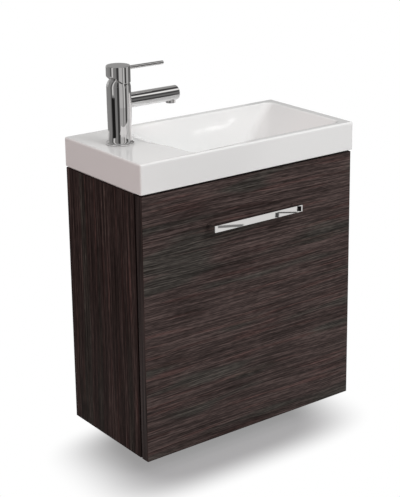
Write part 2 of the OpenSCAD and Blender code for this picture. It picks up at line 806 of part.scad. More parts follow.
// The plate on the side panel: two winged ears with screws and a rail under the arm
module hinge_plate(z) {
    rail_w = arm_w - 2 * arm_t - 2 * cheek_gap;
    rail_y0 = 12;
    ear_r = 6;
    color(steel_color) hung() at_hinge(z) difference() {
        union() {
            translate([-plate_rail_h, rail_y0, -rail_w / 2]) cube([plate_rail_h, arm_l - rail_y0, rail_w]);
            translate([-plate_t, 0, 0]) rotate([0, 90, 0]) linear_extrude(plate_t) {
                for (end = [-1, 1])
                    translate([end * plate_screw_spacing / 2, plate_screw_y]) circle(r = ear_r);
                translate([-plate_screw_spacing / 2, plate_screw_y - ear_r])
                    square([plate_screw_spacing, 2 * ear_r]);
                translate([-arm_w / 2, rail_y0]) square([arm_w, arm_l - rail_y0]);
            }
        }
        for (y = [adjust_front_y, plate_screw_y]) translate([-plate_rail_h - cut, y, 0]) rotate([0, 90, 0])
            cylinder(h = plate_rail_h + cut - plate_t + end_fit, r = adjust_screw_d / 2 + run_fit);
        for (end = [-1, 1]) translate([-plate_t - cut, plate_screw_y, end * plate_screw_spacing / 2])
            rotate([0, 90, 0]) cylinder(h = plate_t + 2 * cut, r = wood_screw_d / 2 + slip_fit);
    }
}

module lower_hinge_plate() {
    hinge_plate(hinge_heights[0]);
}

module upper_hinge_plate() {
    hinge_plate(hinge_heights[1]);
}

module plate_screws() {
    color(steel_color) hung() for (z = hinge_heights, end = [-1, 1]) at_hinge(z)
        translate([-plate_t, plate_screw_y, end * plate_screw_spacing / 2]) rotate([0, 90, 0])
            pan_screw(wood_screw_d / 2, plate_t + wood_screw_l, screw_head_d / 2, screw_head_h);
}

// The bowl's space, or with a wall added its shell: sloping walls down to a flat floor
module bowl_form(wall, top) {
    r = bowl_corner_r + wall;
    floor_r = bowl_floor_r + wall;
    pole_r = 2;
    hull() {
        for (x = [bowl_x0 + bowl_corner_r, bowl_x1 - bowl_corner_r],
             y = [bowl_y0 + bowl_corner_r, bowl_y1 - bowl_corner_r])
            translate([x, y, deck_z - lip_h]) cylinder(h = lip_h + top, r = r, $fn = 32);
        for (x = [floor_x0, floor_x1], y = [floor_y0, floor_y1])
            translate([x, y, floor_z + bowl_floor_r]) {
                sphere(r = floor_r, $fn = 32);
                translate([0, 0, -floor_r]) cylinder(h = floor_r, r = pole_r, $fn = 32);
            }
    }
}

module basin_block() {
    r = basin_edge_r;
    hull() for (x = [-basin_w / 2 + r, basin_w / 2 - r], y = [basin_front_y + r, -r]) {
        translate([x, y, deck_z - r]) sphere(r = r, $fn = 24);
        translate([x, y, basin_z]) cylinder(h = basin_h / 2, r = r, $fn = 24);
    }
}

module basin() {
    color(ceramic_color) hung() difference() {
        union() {
            difference() {
                basin_block();
                translate([-basin_w / 2 + basin_wall, basin_front_y + front_wall, basin_z - cut]) cube([
                    basin_w - 2 * basin_wall, -basin_front_y - front_wall - basin_wall, basin_h - deck_t + cut
                ]);
            }
            bowl_form(bowl_wall, -1);
        }
        bowl_form(0, cut);
        translate([tap_x, tap_y, basin_z]) cylinder(h = basin_h + cut, r = tap_hole_d / 2);
        translate([waste_x, waste_y, floor_z - bowl_wall - cut])
            cylinder(h = bowl_wall + 2 * cut, r = waste_hole_d / 2);
    }
}

module sealant_bead() {
    outer_w = cabinet_w - 2 * bead_inset;
    outer_d = carcass_d - 2 * bead_inset;
    color(white_color) hung() translate([0, 0, cabinet_h]) linear_extrude(bead_t) difference() {
        translate([-outer_w / 2, -carcass_d + bead_inset]) square([outer_w, outer_d]);
        translate([-outer_w / 2 + bead_w, -carcass_d + bead_inset + bead_w])
            square([outer_w - 2 * bead_w, outer_d - 2 * bead_w]);
    }
}

module at_waste(z) {
    translate([waste_x, waste_y, z]) children();
}

module ring(outer_r, inner_r, h) {
    difference() {
        cylinder(h = h, r = outer_r);
        translate([0, 0, -cut]) cylinder(h = h + 2 * cut, r = inner_r);
    }
}

// The waste: a flange in the bowl, a threaded tail, and a guide on three arms for the plug's stem
module waste_body() {
    bore_r = waste_tail_d / 2 - waste_wall;
    tail_h = waste_top_z - waste_end_z;
    guide_z = waste_top_z - plug_guide_drop - plug_guide_h;
    color(chrome_color) hung() difference() {
        union() {
            at_waste(waste_end_z) ring(waste_neck_r, bore_r, tail_h);
            at_waste(waste_end_z) ring(waste_tail_d / 2, bore_r, waste_nut_z - end_fit - waste_end_z);
            at_waste(waste_top_z - waste_flange_t) ring(waste_flange_d / 2, bore_r, waste_flange_t);
            at_waste(guide_z) cylinder(h = plug_guide_h, r = plug_guide_d / 2);
            at_waste(guide_z) for (turn = [0, 120, 240]) rotate([0, 0, turn])
                translate([0, -guide_arm_w / 2, 0])
                    cube([bore_r + waste_wall / 2, guide_arm_w, plug_guide_h / 2]);
        }
        at_waste(guide_z - cut) cylinder(h = plug_guide_h + 2 * cut, r = plug_stem_d / 2 + run_fit);
    }
}

module waste_top_washer() {
    color(rubber_color) hung() at_waste(floor_z)
        ring(waste_seal_d / 2, waste_neck_r + slip_fit, waste_top_seal_t);
}

module waste_low_washer() {
    color(rubber_color) hung() at_waste(waste_low_z)
        ring(waste_seal_d / 2, waste_neck_r + slip_fit, waste_low_seal_t);
}

module waste_back_nut() {
    color(brass_color) hung() at_waste(waste_nut_z) difference() {
        cylinder(h = waste_nut_t, r = waste_nut_d / 2, $fn = 8);
        translate([0, 0, -cut]) cylinder(h = waste_nut_t + 2 * cut, r = waste_neck_r + seat_fit);
    }
}

// The push plug: a shallow dome on a stem that slides in the guide
module waste_plug() {
    rim_h = 1.6;
    collar_z = -2 * plug_gap - plug_guide_drop - plug_guide_h - plug_travel - plug_collar_t;
    dome_r = (pow(plug_d / 2, 2) + pow(plug_h - rim_h, 2)) / (2 * (plug_h - rim_h));
    color(chrome_color) hung() at_waste(waste_top_z + plug_gap) {
        cylinder(h = rim_h, r = plug_d / 2);
        intersection() {
            translate([0, 0, plug_h - dome_r]) sphere(r = dome_r, $fn = 64);
            cylinder(h = plug_h, r = plug_d / 2);
        }
        translate([0, 0, collar_z]) cylinder(h = rim_h - collar_z, r = plug_stem_d / 2);
        translate([0, 0, collar_z]) cylinder(h = plug_collar_t, r = plug_stem_d / 2 + plug_collar_out);
    }
}

module at_tap(z) {
    translate([tap_x, tap_y, z]) children();
}

// The body's outline from its axis outwards, heights from the deck
module tap_body_outline() {
    foot_r = foot_d / 2;
    waist_r = waist_d / 2;
    body_r = body_d / 2;
    flare = foot_r - waist_r;
    difference() {
        union() {
            translate([0, foot_gap]) square([foot_r, foot_h]);
            polygon([
                [0, foot_gap], [foot_r - 0.6, foot_gap + foot_h],
                [foot_r - flare * 0.55, foot_h + flare * 0.32],
                [foot_r - flare * 0.85, foot_h + flare * 0.85],
                [waist_r, foot_run], [body_r, waist_top], [body_r, tilt_h], [0, tilt_h]
            ]);
        }
        translate([-foot_d, -cut]) square([foot_d, body_h + 2 * cut]);
    }
}

// The dome about the tilt axis, which the cap turns over; its lower part is the body's upper edge
module dome(low, high) {
    intersection() {
        translate([0, 0, tilt_h]) sphere(r = dome_r, $fn = 96);
        translate([0, 0, low]) cylinder(h = high - low, r = body_d);
    }
}

// Where the fixing stud and the two inlets enter the foot
module inlet_places() {
    for (side = [-1, 1]) translate([inlet_fore, side * inlet_side, 0]) children();
}

module tap_body() {
    passage_r = 2.4;
    mix_r = 4.5;
    mix_depth = 7;
    mix_floor = spout_z - mix_depth;
    color(chrome_color) hung() at_tap(deck_z) difference() {
        union() {
            rotate_extrude($fn = 96) tap_body_outline();
            dome(tilt_h - cut, body_h);
        }
        translate([0, 0, cartridge_seat]) cylinder(h = body_h, r = cartridge_d / 2 + run_fit);
        translate([0, 0, mix_floor]) cylinder(h = cartridge_seat - mix_floor + cut, r = mix_r);
        translate([0, 0, spout_z]) rotate([0, 90, 0]) cylinder(h = body_d, r = spout_bore_d / 2);
        inlet_places() translate([0, 0, -cut]) cylinder(h = inlet_depth + foot_gap + cut, r = inlet_d / 2);
        for (side = [-1, 1]) translate([0, side * passage_y, inlet_depth - 2])
            cylinder(h = cartridge_seat - inlet_depth + 2 + cut, r = passage_r);
        translate([-fixing_offset, 0, -cut])
            cylinder(h = stud_grip + end_fit + cut, r = stud_d / 2 + seat_fit);
        difference() {
            translate([0, 0, -cut]) cylinder(h = foot_seal_t + cut, r = foot_seal_r + slip_fit);
            translate([0, 0, -2 * cut])
                cylinder(h = foot_seal_t + 4 * cut, r = foot_seal_r - foot_seal_w - slip_fit);
        }
    }
}

// The spout: a round bar with a waterway, cut to sit on the body
module tap_spout() {
    edge_r = 0.8;
    outlet_x = spout_reach - outlet_inset;
    color(chrome_color) hung() at_tap(deck_z) difference() {
        translate([0, 0, spout_z]) rotate([0, 90, 0]) {
            cylinder(h = spout_reach - edge_r, r = spout_d / 2);
            cylinder(h = spout_reach, r = spout_d / 2 - edge_r);
            translate([0, 0, spout_reach - edge_r])
                rotate_extrude($fn = 96) translate([spout_d / 2 - edge_r, 0]) circle(r = edge_r);
        }
        translate([0, 0, spout_z - spout_d]) cylinder(h = 2 * spout_d, r = body_d / 2 + seat_fit);
        translate([0, 0, spout_z]) rotate([0, 90, 0]) cylinder(h = outlet_x, r = spout_bore_d / 2);
        translate([outlet_x, 0, spout_z - spout_d]) cylinder(h = spout_d, r = spout_bore_d / 2 - 1);
        translate([outlet_x, 0, spout_z - spout_d])
            cylinder(h = spout_d / 2 + aerator_seat, r = aerator_d / 2 + seat_fit);
    }
}

// The aerator: a threaded ring with a honeycomb plate in it
module aerator() {
    plate_h = 2;
    plate_grip = 0.5;
    hole_r = 0.7;
    low_z = spout_z - spout_d / 2 - aerator_drop;
    color(chrome_color) hung() at_tap(deck_z) translate([spout_reach - outlet_inset, 0, low_z]) {
        ring(aerator_d / 2, aerator_bore_d / 2, aerator_drop + aerator_seat);
        translate([0, 0, aerator_drop]) difference() {
            cylinder(h = plate_h, r = aerator_bore_d / 2 + plate_grip);
            for (turn = [0 : 60 : 300]) rotate([0, 0, turn]) for (r = [2.2, 4])
                translate([r, 0, -cut]) cylinder(h = plate_h + 2 * cut, r = hole_r, $fn = 16);
            translate([0, 0, -cut]) cylinder(h = plate_h + 2 * cut, r = hole_r, $fn = 16);
        }
    }
}

module foot_seal() {
    color(rubber_color) hung() at_tap(deck_z) ring(foot_seal_r, foot_seal_r - foot_seal_w, foot_seal_t);
}

// The cartridge: a round case with two inlets, an outlet and a well for the turning spindle
module cartridge() {
    well_floor = cartridge_h - spindle_h - cheek_gap;
    port_depth = 2;
    port_r = 2;
    outlet_r = 3;
    color(white_color) hung() at_tap(deck_z + cartridge_seat) difference() {
        cylinder(h = cartridge_h, r = cartridge_d / 2);
        translate([0, 0, well_floor]) cylinder(h = spindle_h + cut, r = spindle_d / 2 + bolt_fit);
        for (side = [-1, 1])
            translate([0, side * passage_y, -cut]) cylinder(h = cut + port_depth, r = port_r);
        translate([0, 0, -cut]) cylinder(h = cut + port_depth, r = outlet_r);
    }
}

// The domed nut holds the cartridge down and closes the gap under the cap
module cartridge_nut() {
    low = body_h - nut_grip;
    color(chrome_color) hung() at_tap(deck_z) difference() {
        union() {
            translate([0, 0, low]) cylinder(h = nut_grip + cut, r = cartridge_d / 2);
            dome(body_h, tilt_h + dome_r);
        }
        translate([0, 0, low - cut]) cylinder(h = tilt_drop + dome_r + nut_grip + 2 * cut, r = dome_bore_r);
    }
}

// The spindle turns in the cartridge and carries the stem's cross pin
module cartridge_spindle() {
    slot_w = stem_w + 2 * screw_fit;
    slot_drop = 4.6;
    floor_z = cartridge_seat + cartridge_h - spindle_h;
    color(white_color) hung() at_tap(deck_z) difference() {
        translate([0, 0, floor_z]) cylinder(h = spindle_h, r = spindle_d / 2);
        translate([-spindle_d, -slot_w / 2, tilt_h - slot_drop]) cube([2 * spindle_d, slot_w, spindle_h]);
        translate([0, spindle_d, tilt_h]) rotate([90, 0, 0])
            cylinder(h = 2 * spindle_d, r = stem_pin_d / 2 + run_fit);
    }
}

// The stem: a square bar with a cross pin, which tilts in the spindle
module lever_stem() {
    foot_drop = 3;
    pin_inset = 0.6;
    color(steel_color) hung() at_tap(tilt_z) {
        translate([-stem_w / 2, -stem_w / 2, 0]) cube([stem_w, stem_w, tilt_drop + stem_rise]);
        intersection() {
            translate([-stem_w / 2, -stem_w / 2, -foot_drop]) cube([stem_w, stem_w, foot_drop + cut]);
            translate([0, stem_w, 0]) rotate([90, 0, 0]) cylinder(h = 2 * stem_w, r = foot_drop);
        }
        translate([0, spindle_d / 2 - pin_inset, 0]) rotate([90, 0, 0])
            cylinder(h = spindle_d - 2 * pin_inset, r = stem_pin_d / 2);
    }
}

// The cap on the stem: a round head, hollow over the dome and cut away at the back so that it can tilt
module lever_cap() {
    r = body_d / 2;
    color(chrome_color) hung() at_tap(cap_z) difference() {
        rotate_extrude($fn = 96) difference() {
            union() {
                square([r, cap_h - cap_edge_r]);
                square([r - cap_edge_r, cap_h]);
                translate([r - cap_edge_r, cap_h - cap_edge_r]) circle(r = cap_edge_r);
            }
            translate([-body_d, -cut]) square([body_d, cap_h + 2 * cut]);
        }
        translate([-cap_cut_start, 0, 0]) rotate([0, cap_cut, 0]) translate([-2 * body_d, -body_d, -body_d])
            cube([2 * body_d, 2 * body_d, body_d]);
        translate([0, 0, -cap_rise - tilt_drop]) sphere(r = dome_r + dome_fit, $fn = 96);
        translate([-stem_w / 2 - seat_fit, -stem_w / 2 - seat_fit, -cut])
            cube([stem_w + 2 * seat_fit, stem_w + 2 * seat_fit, stem_rise - cap_rise + end_fit + cut]);
        translate([r - lever_grip - end_fit, 0, cap_h - lever_drop]) rotate([0, 90, 0])
            cylinder(h = r, r = lever_d / 2 + seat_fit);
        translate([0, 0, grub_z]) rotate([0, -90, 0]) cylinder(h = body_d, r = grub_d / 2 + seat_fit);
    }
}

module lever_pin() {
    tip_r = 0.8;
    color(chrome_color) hung() at_tap(lever_z) translate([body_d / 2 - lever_grip, 0, 0]) rotate([0, 90, 0]) {
        l = lever_reach - body_d / 2 + lever_grip;
        cylinder(h = l - tip_r, r = lever_d / 2);
        cylinder(h = l, r = lever_d / 2 - tip_r);
        translate([0, 0, l - tip_r]) rotate_extrude() translate([lever_d / 2 - tip_r, 0]) circle(r = tip_r);
    }
}

module lever_grub_screw() {
    key_d = 2;
    key_depth = 2;
    sunk = 2;
    l = body_d / 2 - stem_w / 2 - sunk;
    color(steel_color) hung() at_tap(cap_z + grub_z) translate([-stem_w / 2, 0, 0]) rotate([0, -90, 0])
        difference() {
            cylinder(h = l, r = grub_d / 2);
            translate([0, 0, l - key_depth]) cylinder(h = key_depth + cut, r = key_d / 2, $fn = 6);
        }
}

module fixing_stud() {
    color(steel_color) hung() at_tap(deck_z - deck_t - stud_tail) translate([-fixing_offset, 0, 0])
        cylinder(h = deck_t + stud_tail + stud_grip, r = stud_d / 2);
}

// A round plate with a bite out of it for the pipes and a hole for the stud
module clamp_outline(hole_r) {
    web = 1.6;
    bite_x = clamp_bore_d / 2 - fixing_offset + stud_d / 2 + web;
    difference() {
        circle(r = clamp_d / 2);
        translate([bite_x, 0]) circle(r = clamp_bore_d / 2);
        translate([bite_x, -clamp_bore_d / 3]) square([clamp_d, 2 * clamp_bore_d / 3]);
        translate([-fixing_offset, 0]) circle(r = hole_r);
    }
}

module clamp_rubber() {
    color(rubber_color) hung() at_tap(deck_z - deck_t - clamp_rubber_t)
        linear_extrude(clamp_rubber_t) clamp_outline(stud_d / 2 + slip_fit);
}

module clamp_washer() {
    color(steel_color) hung() at_tap(deck_z - deck_t - clamp_rubber_t - clamp_t)
        linear_extrude(clamp_t) clamp_outline(stud_d / 2 + slip_fit);
}

module stud_nut() {
    color(brass_color) hung() at_tap(deck_z - deck_t - clamp_rubber_t - clamp_t - stud_nut_h)
        translate([-fixing_offset, 0, 0]) difference() {
            cylinder(h = stud_nut_h, r = stud_nut_d / 2, $fn = 6);
            translate([0, 0, -cut]) cylinder(h = stud_nut_h + 2 * cut, r = stud_d / 2 + seat_fit);
        }
}

side_panel_left();
side_panel_right();
bottom_panel();
front_rail();
upper_back_rail();
lower_back_rail();
dowels();
cam_bolts();
cam_discs();
door_panel();
door_buffers();
handle();
handle_screws();
lower_hinge_cup();
upper_hinge_cup();
hinge_pins();
cup_screws();
lower_hinge_arm();
upper_hinge_arm();
hinge_adjusting_screws();
lower_hinge_plate();
upper_hinge_plate();
plate_screws();
basin();
sealant_bead();
waste_body();
waste_top_washer();
waste_low_washer();
waste_back_nut();
waste_plug();
tap_body();
tap_spout();
aerator();
foot_seal();
cartridge();
cartridge_nut();
cartridge_spindle();
lever_stem();
lever_cap();
lever_pin();
lever_grub_screw();
fixing_stud();
clamp_rubber();
clamp_washer();
stud_nut();
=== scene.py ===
"""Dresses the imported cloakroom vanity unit: a ceramic basin, chrome fittings and dark laminate boards.

Lengths in the pieces' classes are millimetres in the part's frame; a finished mesh is scaled to metres.
"""
import logging
import math
from dataclasses import dataclass, replace
from enum import Enum
from typing import Callable, Mapping, Sequence

import bmesh
import bpy
from mathutils import Matrix, Vector


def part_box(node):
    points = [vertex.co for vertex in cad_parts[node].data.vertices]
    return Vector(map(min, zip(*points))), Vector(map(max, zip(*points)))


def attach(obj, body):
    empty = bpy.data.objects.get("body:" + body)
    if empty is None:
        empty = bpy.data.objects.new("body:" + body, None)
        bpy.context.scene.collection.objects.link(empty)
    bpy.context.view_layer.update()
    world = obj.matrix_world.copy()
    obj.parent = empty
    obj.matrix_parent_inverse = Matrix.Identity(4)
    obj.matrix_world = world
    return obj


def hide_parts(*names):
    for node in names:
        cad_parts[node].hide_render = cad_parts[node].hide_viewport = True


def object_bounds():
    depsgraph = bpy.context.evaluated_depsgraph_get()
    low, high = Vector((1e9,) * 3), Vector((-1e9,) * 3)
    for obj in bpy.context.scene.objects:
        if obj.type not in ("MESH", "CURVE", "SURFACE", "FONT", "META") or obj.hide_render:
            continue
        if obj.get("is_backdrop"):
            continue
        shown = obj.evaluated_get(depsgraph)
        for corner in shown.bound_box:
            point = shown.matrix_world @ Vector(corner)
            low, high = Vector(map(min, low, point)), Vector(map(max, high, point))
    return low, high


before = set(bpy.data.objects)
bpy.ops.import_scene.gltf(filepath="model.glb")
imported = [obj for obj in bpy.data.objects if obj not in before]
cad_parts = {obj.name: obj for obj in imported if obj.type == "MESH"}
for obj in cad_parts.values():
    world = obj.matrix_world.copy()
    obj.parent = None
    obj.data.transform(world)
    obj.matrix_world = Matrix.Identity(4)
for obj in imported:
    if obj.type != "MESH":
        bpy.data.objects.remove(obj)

log = logging.getLogger("vanity")
MM = 0.001
Point = tuple[float, float, float]
Colour = tuple[float, float, float]
Corner = tuple[float, float, float]
WHITE: Colour = (1.0, 1.0, 1.0)


class Body(Enum):
    """The bodies that the scene's own pieces ride on."""

    CABINET = "cabinet"
    DOOR = "door"
    LEVER = "lever"
    PLUG = "plug"


class Grain(Enum):
    """The way a board's grain runs, as the order of (along, across, through) axes."""

    LEVEL = ("X", "Z", "Y")
    UPRIGHT = ("Z", "Y", "X")


class Turn(Enum):
    """The axis that a lathed form is turned about."""

    UPRIGHT = "Z"
    SIDEWAYS = "X"


class Socket:
    """A shader socket that Python's arithmetic acts on.

    Args:
        bench: The bench whose tree holds the socket.
        out: The wrapped output socket.
    """

    def __init__(self, bench: "Bench", out: bpy.types.NodeSocket) -> None:
        """Wraps one output."""
        self.bench = bench
        self.out = out

    def maths(self, operation: str, *values: "Socket | float") -> "Socket":
        """Runs one Math operation.

        Args:
            operation: The Math node's operation.
            *values: Its inputs in order.

        Returns:
            The result's socket.
        """
        return self.bench.node("ShaderNodeMath", {"operation": operation}, dict(enumerate(values)))

    def __add__(self, other: "Socket | float") -> "Socket":
        """Adds."""
        return self.maths("ADD", self, other)

    __radd__ = __add__

    def __mul__(self, other: "Socket | float") -> "Socket":
        """Multiplies."""
        return self.maths("MULTIPLY", self, other)

    __rmul__ = __mul__

    def __sub__(self, other: "Socket | float") -> "Socket":
        """Subtracts."""
        return self.maths("SUBTRACT", self, other)

    def __rsub__(self, other: "Socket | float") -> "Socket":
        """Subtracts from a number."""
        return self.maths("SUBTRACT", other, self)

    def __truediv__(self, other: "Socket | float") -> "Socket":
        """Divides."""
        return self.maths("DIVIDE", self, other)

    def __rtruediv__(self, other: "Socket | float") -> "Socket":
        """Divides a number."""
        return self.maths("DIVIDE", other, self)

    def __pow__(self, other: "Socket | float") -> "Socket":
        """Raises to a power."""
        return self.maths("POWER", self, other)

    def __abs__(self) -> "Socket":
        """Drops the sign."""
        return self.maths("ABSOLUTE", self)

    def over(self, low: float, high: float) -> "Socket":
        """A smooth step.

        Args:
            low: The value that gives 0.
            high: The value that gives 1; it may be the lower of the two.

        Returns:
            The step's socket, from 0 to 1.
        """
        return self.bench.node("ShaderNodeMapRange", {"interpolation_type": "SMOOTHSTEP"},
                               {"Value": self, "From Min": low, "From Max": high})

    def most(self, other: "Socket | float") -> "Socket":
        """The larger of two."""
        return self.maths("MAXIMUM", self, other)


class Bench:
    """Builds one node tree.

    Args:
        tree: The material's or world's node tree, which is emptied.
    """

    def __init__(self, tree: bpy.types.NodeTree) -> None:
        """Clears the tree."""
        self.tree = tree
        tree.nodes.clear()

    def node(self, kind: str, settings: Mapping[str, object] | None = None,
             sockets: Mapping[str | int, object] | None = None, out: str | int = 0) -> Socket:
        """Adds any node.

        Args:
            kind: The node's type.
            settings: Its properties, set first; "stops" fills a colour ramp.
            sockets: Values or links for its inputs.
            out: The output to return.

        Returns:
            The chosen output, or the first input's owner wrapped where the node has no output.
        """
        made = self.tree.nodes.new(kind)
        for name, value in (settings or {}).items():
            if name == "stops":
                self.fill_ramp(made.color_ramp, value)
            else:
                setattr(made, name, value)
        for key, value in (sockets or {}).items():
            if isinstance(value, Socket):
                self.tree.links.new(value.out, made.inputs[key])
            else:
                made.inputs[key].default_value = value
        return Socket(self, made.outputs[out] if len(made.outputs) else made.inputs[0])

    @staticmethod
    def fill_ramp(ramp: bpy.types.ColorRamp, stops: Sequence[tuple[float, Colour]]) -> None:
        """Sets a colour ramp's stops.

        Args:
            ramp: The ramp.
            stops: Place and colour of each stop, in order.
        """
        while len(ramp.elements) < len(stops):
            ramp.elements.new(1.0)
        for element, (place, colour) in zip(ramp.elements, stops):
            element.position = place
            element.color = (*colour, 1.0)

    def where(self) -> tuple[Socket, Socket, Socket]:
        """The surface point in the part's frame.

        Returns:
            Its X, Y and Z in metres.
        """
        spot = self.node("ShaderNodeTexCoord", out="Object")
        parts = self.tree.nodes.new("ShaderNodeSeparateXYZ")
        self.tree.links.new(spot.out, parts.inputs[0])
        x, y, z = (Socket(self, o) for o in parts.outputs)
        return x, y, z

    def vector(self, x: Socket | float, y: Socket | float, z: Socket | float) -> Socket:
        """Joins three numbers to a vector."""
        return self.node("ShaderNodeCombineXYZ", None, {0: x, 1: y, 2: z})

    def noise(self, vector: Socket, scale: float = 1.0, detail: float = 2.0, rough: float = 0.5) -> Socket:
        """A noise value round 0.5.

        Args:
            vector: The place that it is read at.
            scale: Its scale.
            detail: Octaves.
            rough: Weight of the finer octaves.

        Returns:
            The noise's factor.
        """
        return self.node("ShaderNodeTexNoise", {"noise_dimensions": "3D"},
                         {"Vector": vector, "Scale": scale, "Detail": detail, "Roughness": rough}, out="Fac")

    def ramp(self, value: Socket, stops: Sequence[tuple[float, Colour]]) -> Socket:
        """A colour ramp of a value."""
        return self.node("ShaderNodeValToRGB", {"stops": stops}, {0: value})

    def mix(self, share: Socket | float, a: Socket | Colour, b: Socket | Colour,
            blend: str = "MIX") -> Socket:
        """Mixes two colours.

        Args:
            share: How much of b shows.
            a: The first colour.
            b: The second colour.
            blend: The Mix node's blend type.

        Returns:
            The colour's socket.
        """
        full = [c if isinstance(c, Socket) else (*c, 1.0) for c in (a, b)]
        return self.node("ShaderNodeMix", {"data_type": "RGBA", "blend_type": blend, "clamp_factor": True},
                         {0: share, 6: full[0], 7: full[1]}, out=2)

    def bump(self, height: Socket, distance: float, strength: float = 1.0) -> Socket:
        """A bumped normal from a height between 0 and 1, in metres of distance."""
        return self.node("ShaderNodeBump", None,
                         {"Height": height, "Distance": distance, "Strength": strength})

    def close(self, surface: Socket) -> None:
        """Links a shader to the tree's output.

        Args:
            surface: The shader.
        """
        of_world = surface.out.node.bl_idname == "ShaderNodeBackground"
        kind = "ShaderNodeOutputWorld" if of_world else "ShaderNodeOutputMaterial"
        self.tree.links.new(surface.out, self.tree.nodes.new(kind).inputs["Surface"])


def dimmed(colour: Colour, share: float) -> Colour:
    """A colour times a share."""
    red, green, blue = (c * share for c in colour)
    return red, green, blue


class Finish:
    """A surface finish: each frozen subclass describes one and lays its nodes."""

    name: str

    def lay(self, bench: Bench) -> Socket:
        """Lays the finish's nodes.

        Args:
            bench: The material's bench.

        Returns:
            The shader.
        """
        raise NotImplementedError

    def material(self) -> bpy.types.Material:
        """The finish as a material, made once.

        Returns:
            The material.
        """
        found = bpy.data.materials.get(self.name)
        if found is not None:
            return found
        made = bpy.data.materials.new(self.name)
        made.use_nodes = True
        bench = Bench(made.node_tree)
        bench.close(self.lay(bench))
        return made


@dataclass(frozen=True)
class Figure:
    """One layer of the wood's figure: noise drawn out along the grain.

    Args:
        length: Length of its features, in millimetres.
        width: Width of its features, in millimetres.
        seed: Where its noise is read, so that no two layers match.
        detail: Octaves of noise.
    """

    length: float
    width: float
    seed: float
    detail: float = 1.0


STREAKS = Figure(120.0, 3.2, 7.7, 2.0)
THREADS = Figure(55.0, 1.9, 12.3)
PORES = Figure(9.0, 1.3, 21.9)
RED_STREAKS = Figure(90.0, 8.0, 44.0)
DARK_CUTS = Figure(42.0, 2.6, 57.0)
LIGHT_CUTS = Figure(80.0, 2.2, 63.0)


